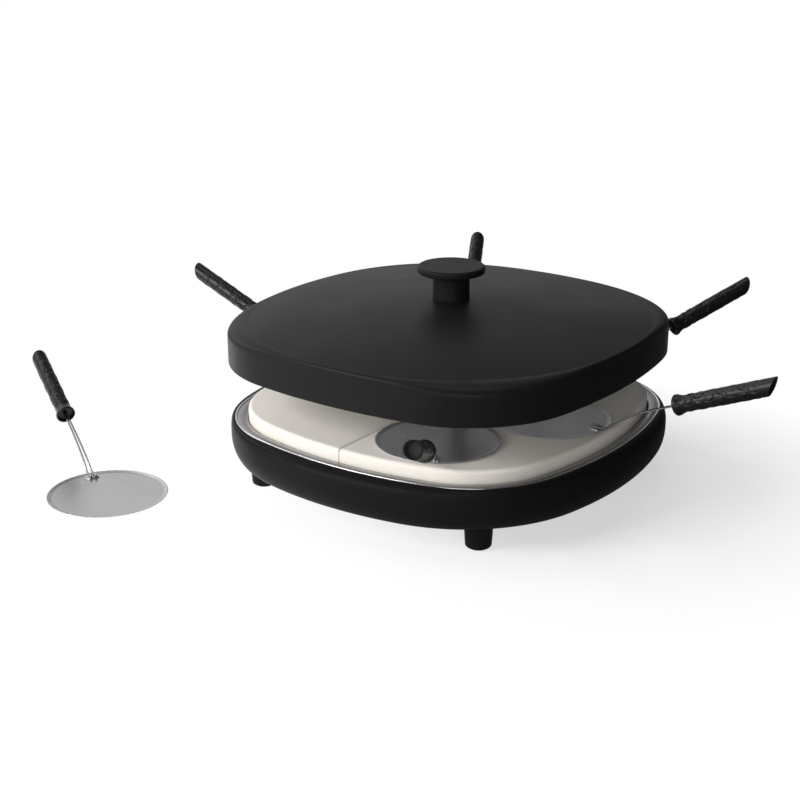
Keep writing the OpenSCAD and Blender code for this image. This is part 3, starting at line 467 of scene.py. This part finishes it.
def linerRoofSkin():
    # Roof of the inner sheet: from its seat on the skirt it follows the crown up to the pad in the middle, and
    # the same line one sheet lower is its underside
    sheet, padZ, radius = liner["sheet"], liner["padZ"], liner["padRadius"]
    padTop = padZ + sheet
    hole = roundShape(lid["hole"])
    share = np.linspace(0.85, 0.4, 12)
    roofZ = crownHeightAt(share) - liner["drop"]
    padEdge = crownHeightAt(liner["padShare"]) - liner["drop"]
    rows = [(linerWall - sheet, liner["seat"]), (linerWall, liner["seat"]), (linerWall, liner["seat"] + sheet)]
    rows += [(crownEdge * s, z) for s, z in zip(share, roofZ)]
    rows += [(roundShape(radius + liner["padSlope"]), padEdge), (roundShape(radius), padTop), (hole, padTop),
             (hole, padZ), (roundShape(radius - sheet), padZ),
             (roundShape(radius + liner["padSlope"] - sheet), padEdge - sheet)]
    rows += [(crownEdge * s, z - sheet) for s, z in zip(share[::-1], roofZ[::-1])]
    return ringGrid([r[0] for r in rows], [r[1] for r in rows])


def linerSkirtSkin():
    # Skirt of the inner sheet: an upright wall with a flange out to the shell at its foot
    flangeZ, sheet = lid["bottom"] + 2, liner["sheet"]
    lip = grown(lid["shape"], -lid["wall"] - liner["lipGap"])
    rows = [(lip, flangeZ), (lip, flangeZ + sheet), (linerWall, flangeZ + sheet), (linerWall, liner["seat"]),
            (linerWall - sheet, liner["seat"]), (linerWall - sheet, flangeZ)]
    return ringGrid([r[0] for r in rows], [r[1] for r in rows])


fitted(skin("lidLiner", linerRoofSkin(), sheetSteel, closeRows=True), "lid", "reflector_aluminium",
       "lid_liner")
fitted(skin("linerSkirt", linerSkirtSkin(), sheetSteel, closeRows=True), "lid", "reflector_aluminium",
       "liner_skirt")

knob = {"discRadius": 32.75, "thickness": 7, "topEdge": 2.6, "lowEdge": 2.2, "stemRadius": 18,
        "stemHeight": 25.6, "waist": 0.4, "screwHole": 2.5, "screwDepth": 4.4, "stemBore": 2.6, "hollow": 0.25}


def knobDiscSkin():
    # Screw hole, rounded lower edge, rounded upper edge, and a top that sinks with the square of the distance
    # from the rim
    z0 = lidTop + knob["stemHeight"]
    r, t = knob["discRadius"], knob["thickness"]
    low, top = knob["lowEdge"], knob["topEdge"]
    a = np.radians(np.linspace(-90, 0, 9))
    b = np.radians(np.linspace(0, 90, 11))
    lower = np.stack([r - low + low * np.cos(a), low + low * np.sin(a)], -1)
    upper = np.stack([r - top + top * np.cos(b), t - top + top * np.sin(b)], -1)
    # The top is very slightly hollow, so that the soft light rolls over it
    face = np.linspace(r - top - 0.8, 0.5, 14)
    hollow = np.stack([face, t - knob["hollow"] * (1 - (face / r) ** 2)], -1)
    hole, depth = knob["screwHole"], knob["screwDepth"]
    profile = np.concatenate([[(0.4, depth), (hole, depth), (hole, 0)], lower, upper, hollow])
    return revolved(profile + [0, z0], 144)


fitted(skin("knobDisc", knobDiscSkin(), knobBlack, capStart=True, capEnd=True), "lid", "black_knob",
       "knob_disc")


def knobStemSkin():
    # A slightly waisted tube: its radius falls off with the square of the distance from its middle
    r, h = knob["stemRadius"], knob["stemHeight"]
    z = np.linspace(0.6, h - 0.6, 14)
    waist = r - knob["waist"] * (1 - ((z - h / 2) / (h / 2)) ** 2)
    foot, head = [(r - 0.5, 0), (r - 0.1, 0.2)], [(r - 0.1, h - 0.2), (r - 0.5, h)]
    outside = np.concatenate([foot, np.stack([waist, z], -1), head])
    inside = [(knob["stemBore"], h), (knob["stemBore"], 0)]
    return revolved(np.concatenate([outside, inside]) + [0, lidTop], 128)


fitted(skin("knobStem", knobStemSkin(), knobBlack, closeRows=True), "lid", "black_knob", "knob_stem")
print("lid and knob made")

# Base
base = {
    "shape": (200.5, 203, 362, 152),
    "rim": (189.5, 192, 401, 110),
    "bottom": 24,
    "widest": 50,
    "shoulder": 56.1,
    "shoulderHeight": 9.5,
    "tuck": 14.6,
    "wall": 3,
    "flange": 3.6,
    "flangeWidth": 40,
    "rebate": 6,
    "rebateDepth": 1.4,
    "partingAngle": 45,  # degrees up the shoulder
    "rimAngle": 47.5,
    "land": 3.4,
    "groove": 0.4,
    "rimZ": 66,
}
shoulderShape = grown(base["rim"], 1.1)
partingZ = base["shoulder"] + base["shoulderHeight"] * math.sin(math.radians(base["partingAngle"]))
partingShape = mixed(base["shape"], shoulderShape, 1 - math.cos(math.radians(base["partingAngle"])))
seatZ = base["rimZ"] - 1.6


def curveRings(angles, inset):
    # Lower part of the housing: a quarter ellipse, tucked in towards the underside
    a = np.radians(angles)
    shapes = grown(base["shape"], -inset - base["tuck"] * (1 - np.cos(a)))
    return shapes, base["widest"] - (base["widest"] - base["bottom"]) * np.sin(a)


def shoulderRings(angles):
    # Upper part: a quarter ellipse from the widest outline in to the rim
    a = np.radians(angles)
    shapes = mixed(base["shape"], shoulderShape, 1 - np.cos(a))
    return shapes, base["shoulder"] + base["shoulderHeight"] * np.sin(a)


def housingSkin():
    # Underside, curve, shoulder up to the parting line, then the inside back down to the opening in the floor
    opening = grown(base["shape"], -base["tuck"] - base["flangeWidth"])
    rebate = grown(opening, base["rebate"])
    flangeTop = base["bottom"] + base["flange"]
    floorAngle = math.degrees(math.asin((base["widest"] - flangeTop) / (base["widest"] - base["bottom"])))
    low, lowZ = curveRings(np.linspace(90, 0, 28), 0)
    high, highZ = shoulderRings(np.linspace(0, base["partingAngle"], 12))
    back, backZ = curveRings(np.linspace(0, floorAngle, 8), base["wall"])
    shapes = np.concatenate([
        [rebate], low, high, [grown(partingShape, -base["land"]), grown(base["shape"], -base["wall"])], back,
        [opening, opening, rebate],
    ])
    heights = np.concatenate([
        [base["bottom"]], lowZ, highZ, [partingZ, base["shoulder"]], backZ,
        [flangeTop, base["bottom"] + base["rebateDepth"], base["bottom"] + base["rebateDepth"]],
    ])
    return ringGrid(shapes, heights)


backFittings = {"height": 45, "glandOffset": 50, "glandHole": 6.1, "switchWidth": 21, "switchHeight": 14,
                "ledgeX": 1.4, "ledgeZ": 0.9, "play": 0.1, "seatDepth": 1, "reach": 12, "past": 6}


def housingCutters():
    # The switch's window with a shallow seat round it, and a bore square to the wall for the cord gland
    fit = backFittings
    halfW, halfH = fit["switchWidth"] / 2, fit["switchHeight"] / 2
    z, y, radius = fit["height"], base["shape"][1], base["shape"][2]

    def block(name, w, h, depth):
        grid = blockGrid((-w, y - depth, z - h), (w, y + fit["past"], z + h))
        return skin(name, grid, housingBlack, capStart=True, capEnd=True)

    window = block("window", halfW - fit["ledgeX"], halfH - fit["ledgeZ"], fit["reach"])
    seat = block("seat", halfW + fit["play"], halfH + fit["play"], fit["seatDepth"])
    turn = math.asin(fit["glandOffset"] / radius)
    out = np.array([math.sin(turn), math.cos(turn), 0])
    wallPoint = np.array([0, y - radius, z]) + radius * out
    ends = [wallPoint - fit["reach"] * out, wallPoint + fit["reach"] * out]
    bore = skin("bore", tubeGrid(ends, fit["glandHole"], 48, upward), housingBlack, capStart=True, capEnd=True)
    return [window, seat, bore]


housingShell = skin("housingShell", housingSkin(), housingBlack, closeRows=True)
cutAway(housingShell, housingCutters())
fitted(housingShell, "base", "black_housing", "housing")


def rimFrameSkin():
    # A fine groove over the parting line, the rest of the shoulder, and a seat for the bead inside it
    outer = grown(partingShape, -base["groove"])
    inner = grown(partingShape, -base["land"] - 0.1)
    top, topZ = shoulderRings(np.linspace(base["rimAngle"], 90, 16))
    seat = grown(base["rim"], 0.1)
    ledge = grown(base["rim"], -8)
    grooveZ = partingZ + base["groove"]
    shapes = np.concatenate([
        [inner, outer, outer, grown(partingShape, -0.05)], top, [seat, seat, ledge, ledge, inner],
    ])
    heights = np.concatenate([
        [partingZ, partingZ, grooveZ, grooveZ], topZ,
        [base["rimZ"] - 0.4, seatZ, seatZ, partingZ - 2, partingZ - 2],
    ])
    return ringGrid(shapes, heights)


fitted(skin("rimFrame", rimFrameSkin(), housingBlack, closeRows=True), "base", "black_housing",
       "rim_frame")

edge = {"width": 2.2, "height": 2, "band": 13.3, "sheet": 1.2, "play": 0.5, "ledge": 14, "ledgeZ": 60}
stoneShape = grown(base["rim"], -edge["band"])
trayTop = seatZ + edge["sheet"]


def edgeBeadSkin():
    # A half ellipse on a flat foot
    r = edge["width"] / 2
    a = np.radians(np.linspace(0, 180, 15))
    top = seatZ + edge["height"]
    shapes = np.concatenate([[grown(base["rim"], -edge["width"])], [grown(base["rim"], 0)],
                             grown(base["rim"], -r + r * np.cos(a))])
    heights = np.concatenate([[seatZ, seatZ], top - r * 0.7 * (1 - np.sin(a))])
    return ringGrid(shapes, heights)


fitted(skin("edgeBead", edgeBeadSkin(), edgeSteel, closeRows=True), "base", "bright_edge", "edge_bead")


def traySkin():
    # Flat band, two fine steps beside the stone, well wall and ledge, then the underside
    outer = grown(base["rim"], -edge["width"] - 0.05)
    well = grown(stoneShape, edge["play"])
    ledgeIn = grown(stoneShape, -edge["ledge"])
    t, z = edge["sheet"], edge["ledgeZ"]
    steps = [(4.1, 0), (3.9, 0.04), (3.5, 0.3), (3.2, 0.34), (1.9, 0.36), (1.6, 0.42), (1.1, 0.8), (0.5, 1.5),
             (0.15, 2.2), (0, 3)]  # distance out from the well and drop under the band
    rows = [(outer, seatZ), (outer, trayTop - 0.15), (grown(outer, -0.15), trayTop)]
    rows += [(grown(well, out), trayTop - drop) for out, drop in steps]
    rows += [
        (well, z), (ledgeIn, z), (ledgeIn, z - t), (grown(well, t), z - t), (grown(well, t), trayTop - 3.2),
        (grown(well, 2.6), seatZ - 1), (grown(base["rim"], -8.2), seatZ),
    ]
    return ringGrid([r[0] for r in rows], [r[1] for r in rows])


fitted(skin("stoneTray", traySkin(), bandSteel, closeRows=True, sharp=60), "base", "tray_steel",
       "stone_tray")
print("base shell, rim and tray made")

# Baking stone
stone = {"top": 77, "thickness": 17, "edge": 4, "seam": 1.2, "bay": 17.5, "seamEdge": 0.9, "seamPower": 1.5}


def stoneHalfGrid():
    # Half the outline, back along the seam and round the column's bay; each ring is drawn in by the
    # edge rounding, the seam and the bay by a smaller share of it
    e, steps = stone["edge"], 25
    a = np.radians(np.linspace(0, 90, 11))
    inset = np.concatenate([[0.8, 0.25, 0], [0], e * (1 - np.cos(a))[1:]])
    bottom = stone["top"] - stone["thickness"]
    z = np.concatenate([[bottom, bottom + 0.25, bottom + 0.8], [stone["top"] - e],
                        stone["top"] - e * (1 - np.sin(a))[1:]])
    near = stone["seam"] / 2 + stone["seamEdge"] * (inset / e) ** stone["seamPower"]
    bay = stone["bay"] + stone["seamEdge"] * (inset / e) ** stone["seamPower"]
    full = outlines(grown(stoneShape, -inset), 14, 22)
    n = full.shape[1]
    half = np.roll(full, n // 4, axis=1)[:, : n // 2 + 1]
    half = np.stack([np.maximum(half[..., 0], near[:, None]), half[..., 1]], -1)
    notch = np.sqrt(bay ** 2 - near ** 2)
    far = half[:, -1, 1]
    t = np.linspace(0, 1, steps + 1)[None, 1:]
    back = np.stack([np.repeat(near[:, None], steps, 1), far[:, None] + (notch - far)[:, None] * t], -1)
    sweep = np.arccos(near / bay)[:, None] * np.linspace(1, -1, 31)[None, 1:-1]
    arc = bay[:, None, None] * np.stack([np.cos(sweep), np.sin(sweep)], -1)
    frontY = (-notch)[:, None] + (-far + notch)[:, None] * (t - t[:, :1])
    front = np.stack([np.repeat(near[:, None], steps, 1), frontY], -1)
    ring = np.concatenate([half, back, arc, front], axis=1)
    return np.concatenate([ring, np.broadcast_to(z[:, None, None], ring.shape[:2] + (1,))], -1)


rightHalf = stoneHalfGrid()
leftHalf = (rightHalf * [-1, 1, 1])[:, ::-1]
for name, grid, node in (("stoneRight", rightHalf, "stone_right"), ("stoneLeft", leftHalf, "stone_left")):
    fitted(skin(name, grid, creamStone, capStart=True, capEnd=True, sharp=50), "base", "cream_stone", node)
print("stone halves made")

# Upper heating element
element = {"radius": 3.25, "loop": 105, "bend": 10, "legY": 8, "z": 142.8}


def elementPath():
    # A leg out of the column, a quarter bend, the loop, and the same way back
    turn = math.asin((element["legY"] + element["bend"]) / (element["loop"] - element["bend"]))
    reach = (element["loop"] - element["bend"]) * math.cos(turn)
    a = np.linspace(-math.pi / 2, turn, 14)
    bendX, bendY = reach + element["bend"] * np.cos(a), element["legY"] + element["bend"] * (1 + np.sin(a))
    bend = np.stack([bendX, bendY], -1)
    b = np.linspace(turn, tau - turn, 150)[1:-1]
    loop = element["loop"] * np.stack([np.cos(b), np.sin(b)], -1)
    leg = np.stack([np.linspace(6, reach, 12, endpoint=False), np.full(12, element["legY"])], -1)
    half = np.concatenate([leg, bend])
    flat = np.concatenate([half, loop, half[::-1] * [1, -1]])
    return np.concatenate([flat, np.full((len(flat), 1), element["z"])], -1)


fitted(skin("upperElement", tubeGrid(elementPath(), element["radius"], 20, upward), sheathSteel,
            capStart=True, capEnd=True), "base", "element_sheath", "upper_heating_element")

# Spatulas
spatula = {
    "plateRadius": 57.5, "rimWidth": 3.5, "rimHeight": 1.9, "sheet": 0.8, "tabLength": 10, "tabWidth": 12,
    "tabThickness": 1.3, "wireRadius": 0.95, "spread": 2.5, "close": 1.05, "depth": 42, "run": 127.5, "rise": 40,
    "riseAngle": 46, "bend": 5.6, "lowPull": 16, "highPull": 35, "liftInset": 1.5, "closePower": 0.5,
    "weld": 0.02, "sleeveRadius": 1.3, "sleeveLength": 8, "sleeveLead": 0.6,
    "gripRadius": 7.9, "collarRadius": 9.8, "gripLength": 94, "slope": 22, "cut": 36, "lift": 77.1,
}
spatulaPlaces = [(126, -61), (114, 0), (126, 58.5), (126, 118.5), (114, 180)]  # reach, degrees round
tablePlace = {"x": -228, "y": -248, "turn": 154}
grip = {"collarEnd": 9, "slantFrom": 60, "wall": 1.5, "hollowDepth": 24, "bore": 2.35, "boreDepth": 12,
        "plainEnd": 8, "steps": 120, "rows": 200}
leaf = {"start": 10.5, "pitch": 10.5, "around": 5, "width": 2.7, "length": 5, "height": 0.6, "depth": 0.5,
        "lean": 2.2, "steepness": 2.2, "grooveAt": 0.12, "grooveWidth": 0.16, "grooveSide": -0.4, "sink": 0.18,
        "scatter": (12.9898, 78.233, 43758.5453)}  # gives each leaf a lean of its own


def placed(grid, index):
    # From the plate's own frame, handle along X, to its place in the oven or on the table
    if index < len(spatulaPlaces):
        reach, direction = spatulaPlaces[index]
        grid = grid + [reach, 0, spatula["lift"]]
        shift = (0, 0)
    else:
        direction = tablePlace["turn"]
        shift = (tablePlace["x"], tablePlace["y"])
    c, s = math.cos(math.radians(direction)), math.sin(math.radians(direction))
    x, y, z = grid[..., 0], grid[..., 1], grid[..., 2]
    return np.stack([c * x - s * y + shift[0], s * x + c * y + shift[1], z], -1)


def plateSkin():
    # Flat floor, rounded knee, sloping rim with a rolled edge; then the underside
    r, t = spatula["plateRadius"], spatula["sheet"]
    floor = r - spatula["rimWidth"]
    top = spatula["rimHeight"]
    points = [(0.5, 0), (floor, 0), (r - 0.6, top - t), (r, top - t + 0.4), (r, top), (r - 0.9, top),
              (floor - 0.4, t), (0.5, t)]
    return revolved(roundedProfile(points, [0, 1.2, 0.3, 0.25, 0.3, 0.3, 1.2, 0]), 144)


def tabGrid():
    # The tab: a rounded rectangle with a softened top edge, grown out of the plate's floor
    x0 = spatula["plateRadius"] - spatula["rimWidth"] - spatula["tabLength"] - 0.5
    x1 = x0 + spatula["tabLength"]
    half, top = spatula["tabWidth"] / 2, spatula["sheet"] + spatula["tabThickness"]
    a = np.linspace(0, tau, 32, endpoint=False)

    def ring(inset, z):
        # Superellipse outline, drawn in by the inset
        cx, hx, hy = (x0 + x1) / 2, (x1 - x0) / 2 - inset, half - inset
        c, s = np.cos(a), np.sin(a)
        x = cx + hx * np.sign(c) * np.abs(c) ** 0.35
        y = hy * np.sign(s) * np.abs(s) ** 0.35
        return np.stack([x, y, np.full(len(a), z)], -1)

    edge = [(0, top - 0.35), (0.12, top - 0.1), (0.4, top)]  # inset, height
    return np.stack([ring(0, spatula["sheet"] / 2)] + [ring(inset, z) for inset, z in edge])


wireLow = spatula["sheet"] + spatula["tabThickness"] + spatula["wireRadius"] + spatula["weld"]


def wirePath():
    # One run: along the tab, a bend up, a long sweep and a straight length inside the grip; then the
    # hairpin and the same way back on the other side
    start = spatula["plateRadius"] - spatula["rimWidth"] - spatula["tabLength"]
    liftOff = spatula["plateRadius"] - spatula["liftInset"]
    up = math.radians(spatula["riseAngle"])
    a = np.linspace(0, up, 12)
    lead = np.stack([np.linspace(start, liftOff, 12, endpoint=False), np.full(12, wireLow)], -1)
    bend = np.stack([liftOff + spatula["bend"] * np.sin(a), wireLow + spatula["bend"] * (1 - np.cos(a))], -1)
    tilt = math.radians(spatula["slope"])
    along = np.array([math.cos(tilt), math.sin(tilt)])
    end = np.array([spatula["run"], spatula["rise"]], float)
    climb = np.array([math.cos(up), math.sin(up)])
    pulls = [bend[-1] + spatula["lowPull"] * climb, end - spatula["highPull"] * along]
    sweep = bezier([bend[-1]] + pulls + [end], 44)
    inside = end + np.linspace(0, 1, 8)[1:, None] * spatula["depth"] * along
    profile = np.concatenate([lead, bend[:-1], sweep, inside])
    past = (profile[:, 0] - spatula["plateRadius"]) / (spatula["run"] - spatula["plateRadius"])
    share = np.clip(past, 0, 1) ** spatula["closePower"]
    gap = spatula["spread"] + (spatula["close"] - spatula["spread"]) * share
    run = np.stack([profile[:, 0], gap, profile[:, 1]], -1)
    b = np.linspace(0, math.pi, 14)[1:-1]
    tip = profile[-1] + (spatula["close"] * np.sin(b))[:, None] * along
    hairpin = np.stack([tip[:, 0], spatula["close"] * np.cos(b), tip[:, 1]], -1)
    return np.concatenate([run, hairpin, run[::-1] * [1, -1, 1]])


def sleevePaths():
    # A short sleeve over each end of the wire on the tab, slightly narrowed at both of its ends
    start = spatula["plateRadius"] - spatula["rimWidth"] - spatula["tabLength"] - spatula["sleeveLead"]
    x = np.linspace(start, start + spatula["sleeveLength"], 9)
    radius = spatula["sleeveRadius"] * np.array([0.82, 0.97, 1, 1, 1, 1, 1, 0.97, 0.82])
    sides = (spatula["spread"], -spatula["spread"])
    return [(np.stack([x, np.full(9, side), np.full(9, wireLow)], -1), radius) for side in sides]


def gripSkin():
    # A revolved grip with staggered leaves in relief, cut off on a slant and hollow at the end
    r, flare, length = spatula["gripRadius"], spatula["collarRadius"], spatula["gripLength"]
    slant = math.tan(math.radians(spatula["cut"]))
    steps, collarEnd, sink = grip["steps"], grip["collarEnd"], leaf["sink"]
    turn = np.linspace(0, tau, steps, endpoint=False)[None, :]
    collar = [(flare - 0.7, 0), (flare, 0.7), (flare - 0.2, 3), (r + 0.5, 5.8), (r - 0.2, collarEnd)]
    profile = roundedProfile(collar, [0, 0.6, 0.9, 1.4, 0], 5)
    z = np.linspace(profile[-1, 1], length, grip["rows"])[1:]
    body = np.interp(z, [collarEnd, 20, length * 0.55, length], [r - 0.2, r - 0.1, r + 0.2, r])
    baseR = np.concatenate([profile[:, 0], body])[:, None]
    baseZ = np.concatenate([profile[:, 1], z])[:, None]
    # Towards the end each ring tilts, until the last one lies in the slanted cut
    share = np.clip((baseZ - grip["slantFrom"]) / (length - grip["slantFrom"]), 0, 1)
    fullZ = baseZ - share * slant * r * np.cos(turn)
    # Staggered cells, each with its own lean; a leaf is a raised lens with a groove along its outline
    u = turn / tau * leaf["around"]
    v = (fullZ - leaf["start"]) / leaf["pitch"]
    row = np.floor(v)
    shifted = u + 0.5 * (row % 2)
    column = np.floor(shifted)
    byRow, byColumn, size = leaf["scatter"]
    seed = np.sin(row * byRow + (column % leaf["around"]) * byColumn) * size
    lean = (seed - np.floor(seed) - 0.5) * leaf["lean"]
    x = (shifted - column - 0.5) * tau * r / leaf["around"]
    y = (v - row - 0.5) * leaf["pitch"]
    along = x * np.sin(lean) + y * np.cos(lean)
    across = x * np.cos(lean) - y * np.sin(lean)
    lens = 1 - np.abs(across) / leaf["width"] - (along / leaf["length"]) ** 2
    raised = np.clip(lens * leaf["steepness"], 0, 1) ** 0.5 * leaf["height"]
    groove = np.exp(-((lens + leaf["grooveAt"]) / leaf["grooveWidth"]) ** 2) * leaf["depth"]
    groove = groove * (across > leaf["grooveSide"])
    fade = np.clip((fullZ - collarEnd) / 3, 0, 1) * np.clip((length - grip["plainEnd"] - fullZ) / 4, 0, 1)
    radius = np.minimum(baseR + (raised - groove - sink) * fade, np.maximum(baseR, r + 0.19))
    outside = np.stack([radius * np.cos(turn), radius * np.sin(turn), fullZ], -1)
    # Thin lip and hollow at the end, and the recess of the collar
    hollow, floorZ = r - grip["wall"], length - grip["hollowDepth"]
    bore, boreZ = grip["bore"], grip["boreDepth"]

    def ringAt(radius, z):
        full = np.broadcast_to(z, (1, steps))
        return np.stack([radius * np.cos(turn), radius * np.sin(turn), full], -1)

    def endAt(radius, drop):
        return ringAt(radius, length - slant * radius * np.cos(turn) - drop)

    end = [endAt(r - 0.2, -0.03), endAt(r - 0.5, 0), endAt(hollow, 0.1),
           ringAt(hollow - 0.2, floorZ), ringAt(0.4, floorZ)]
    cup = [(3, 4.5), (2.2, 4.1), (1.9, 3.2), (1.6, 0.5), (1.35, 0.05), (1.1, 0)]  # inset from the flare, depth
    recess = [ringAt(0.4, boreZ), ringAt(bore, boreZ), ringAt(bore, 4.6)]
    recess += [ringAt(flare - inset, depth) for inset, depth in cup]
    grid = np.concatenate(recess + [outside] + end)
    # From the grip's own axis to the slope of the handle
    tilt = math.radians(90 - spatula["slope"])
    x, y, z = grid[..., 0], grid[..., 1], grid[..., 2]
    c, s = math.cos(tilt), math.sin(tilt)
    turned = np.stack([x * c + z * s, y, z * c - x * s], -1)
    return turned + [spatula["run"], 0, spatula["rise"]]


def closed(name, grid, material, index, sharp=creaseAngle):
    return skin(name, placed(grid, index), material, capStart=True, capEnd=True, sharp=sharp)


plateGrid, tabShape, gripGrid = plateSkin(), tabGrid(), gripSkin()
wireGrid = tubeGrid(wirePath(), spatula["wireRadius"], 16, upward)
sleeveGrids = [tubeGrid(path, radius, 20, upward) for path, radius in sleevePaths()]
for index in range(len(spatulaPlaces) + 1):
    number = str(index + 1)
    label = "spatula_" + number
    plate = closed("plate" + number, plateGrid, plateSteel, index)
    tab = closed("tab" + number, tabShape, plateSteel, index)
    fitted(merged("plate" + number, [plate, tab]), label, "plate_steel", label + "_plate")
    wire = closed("wire" + number, wireGrid, wireSteel, index)
    sleeves = [closed("sleeve" + number + side, grid, wireSteel, index) for side, grid in zip("AB", sleeveGrids)]
    fitted(merged("wire" + number, [wire] + sleeves), label, "wire_steel", label + "_wire")
    handle = closed("grip" + number, gripGrid, gripBlack, index, sharp=50)
    fitted(handle, label, "black_grip", label + "_grip")
print("spatulas made")

# Floor, world and lights
stage = {
    "floorSize": 14,  # metres
    "floorDepth": 20,
    "floorGap": 0.2,
    "floorTone": 0.56,
    "floorLift": 0.56,
    "clearFrom": 0.15,  # metres from the middle of the shadow
    "clearTo": 0.32,
    "shadowX": 0.13,
    "shadowY": 0.05,
    "worldLight": 0.8,
    "highLight": 0.3,
    "lowLight": 0.35,
    "darkSide": 0.08,
    "darkBack": 0.35,
    "worldSide": (-0.85, -0.15),  # from bright to dim, along X
    "worldLow": (0, 0.26),  # from dim to bright, along Z
    "worldHigh": (0.3, 0.7),  # from bright to dim, along Z
    "floorSide": (-0.1, 0.3),  # from bright to dim, metres along X
    "floorBack": (-0.05, 0.35),  # from bright to dim, metres along Y
}


def whoLooks(tree, side):
    # One where the camera looks, and the given share of light where a reflection or a clear surface looks
    path = addNode(tree, "ShaderNodeLightPath")
    mirrored = maths(tree, "MAXIMUM", path.outputs["Is Glossy Ray"], path.outputs["Is Transmission Ray"])
    seen = maths(tree, "MAXIMUM", path.outputs["Is Camera Ray"], maths(tree, "MULTIPLY", mirrored, side))
    return seen, mirrored


def studioWorld():
    # White to the camera. As light and in reflections it is a bright band a little over the horizon on the
    # left, and fades upwards, downwards and towards the right
    world = bpy.data.worlds.new("studio")
    bpy.context.scene.world = world
    world.use_nodes = True
    tree = world.node_tree
    tree.nodes.clear()
    split = addNode(tree, "ShaderNodeSeparateXYZ")
    tree.links.new(addNode(tree, "ShaderNodeTexCoord").outputs["Generated"], split.inputs[0])
    side = ranged(tree, split.outputs["X"], 1, stage["darkSide"], *stage["worldSide"])
    height = maths(tree, "MULTIPLY", ranged(tree, split.outputs["Z"], stage["lowLight"], 1, *stage["worldLow"]),
                   ranged(tree, split.outputs["Z"], 1, stage["highLight"], *stage["worldHigh"]))
    share = maths(tree, "MULTIPLY", side, height)
    seen, mirrored = whoLooks(tree, share)
    light = addNode(tree, "ShaderNodeBackground")
    light.inputs["Color"].default_value = (1, 1, 1, 1)
    tree.links.new(maths(tree, "MULTIPLY", share, stage["worldLight"]), light.inputs["Strength"])
    white = addNode(tree, "ShaderNodeBackground")
    white.inputs["Color"].default_value = (1, 1, 1, 1)
    white.inputs["Strength"].default_value = 1
    choose = addNode(tree, "ShaderNodeMixShader")
    out = addNode(tree, "ShaderNodeOutputWorld")
    tree.links.new(seen, choose.inputs[0])
    tree.links.new(light.outputs[0], choose.inputs[1])
    tree.links.new(white.outputs[0], choose.inputs[2])
    tree.links.new(choose.outputs[0], out.inputs["Surface"])


studioWorld()


def floorFinish():
    # Pale floor. Under and beside the part it keeps the shadow, and its own light lifts it to white to the
    # camera and in reflections; further out that light alone makes it white. Reflections of its right side
    # and back are dim
    tone = stage["floorTone"]
    material, tree, shader = newMaterial("paleFloor", color=(tone, tone, tone, 1), roughness=0.9, specular=0.0)
    split = addNode(tree, "ShaderNodeSeparateXYZ")
    tree.links.new(addNode(tree, "ShaderNodeTexCoord").outputs["Object"], split.inputs[0])
    side = maths(tree, "MULTIPLY", ranged(tree, split.outputs["X"], 1, stage["darkSide"], *stage["floorSide"]),
                 ranged(tree, split.outputs["Y"], 1, stage["darkBack"], *stage["floorBack"]))
    across = maths(tree, "SUBTRACT", split.outputs["X"], stage["shadowX"])
    along = maths(tree, "SUBTRACT", split.outputs["Y"], stage["shadowY"])
    far = maths(tree, "SQRT", maths(tree, "ADD", maths(tree, "MULTIPLY", across, across),
                                    maths(tree, "MULTIPLY", along, along)), 0)
    clear = ranged(tree, far, 0, 1, stage["clearFrom"], stage["clearTo"])
    seen, mirrored = whoLooks(tree, side)
    lift = ranged(tree, clear, stage["floorLift"], 1, 0, 1)
    tree.links.new(maths(tree, "MULTIPLY", seen, lift), shader.inputs["Emission Strength"])
    shader.inputs["Emission Color"].default_value = (1, 1, 1, 1)
    dim = maths(tree, "MULTIPLY", mirrored, maths(tree, "SUBTRACT", 1, side))
    path = addNode(tree, "ShaderNodeLightPath")
    dark = maths(tree, "MAXIMUM", dim, maths(tree, "MULTIPLY", path.outputs["Is Camera Ray"], clear))
    tree.links.new(blended(tree, dark, (tone, tone, tone, 1), (0, 0, 0, 1)), shader.inputs["Base Color"])
    return material


floorHalf = stage["floorSize"] / mm / 2
floorGrid = blockGrid((-floorHalf, -floorHalf, -stage["floorDepth"]), (floorHalf, floorHalf, -stage["floorGap"]))
floor = skin("floor", floorGrid, floorFinish(), capStart=True, capEnd=True)

lamps = {  # place and size in metres, power in watts
    "leftSoftbox": {"place": (-1.9, -0.2, 1.5), "size": 1.2, "power": 10},
    "frontSoftbox": {"place": (-1.1, -2.1, 1.2), "size": 1.3, "power": 50},
    "topSoftbox": {"place": (-0.3, 0.2, 2.3), "size": 1.2, "power": 10},
    "cameraFill": {"place": (1.0, -1.9, 0.6), "size": 1.3, "power": 17},
}


def addLamp(name, place, size, power, target=(0, 0, 0.1)):
    data = bpy.data.lights.new(name, "AREA")
    data.shape = "SQUARE"
    data.size = size
    data.energy = power
    lamp = bpy.data.objects.new(name, data)
    lamp.location = place
    away = np.array(target) - np.array(place)
    tip, spin = math.atan2(math.hypot(away[0], away[1]), -away[2]), math.atan2(-away[0], away[1])
    lamp.rotation_euler = (tip, 0, spin)
    bpy.context.scene.collection.objects.link(lamp)


for lampName, lampSet in lamps.items():
    addLamp(lampName, **lampSet)
print("stage and lights made")
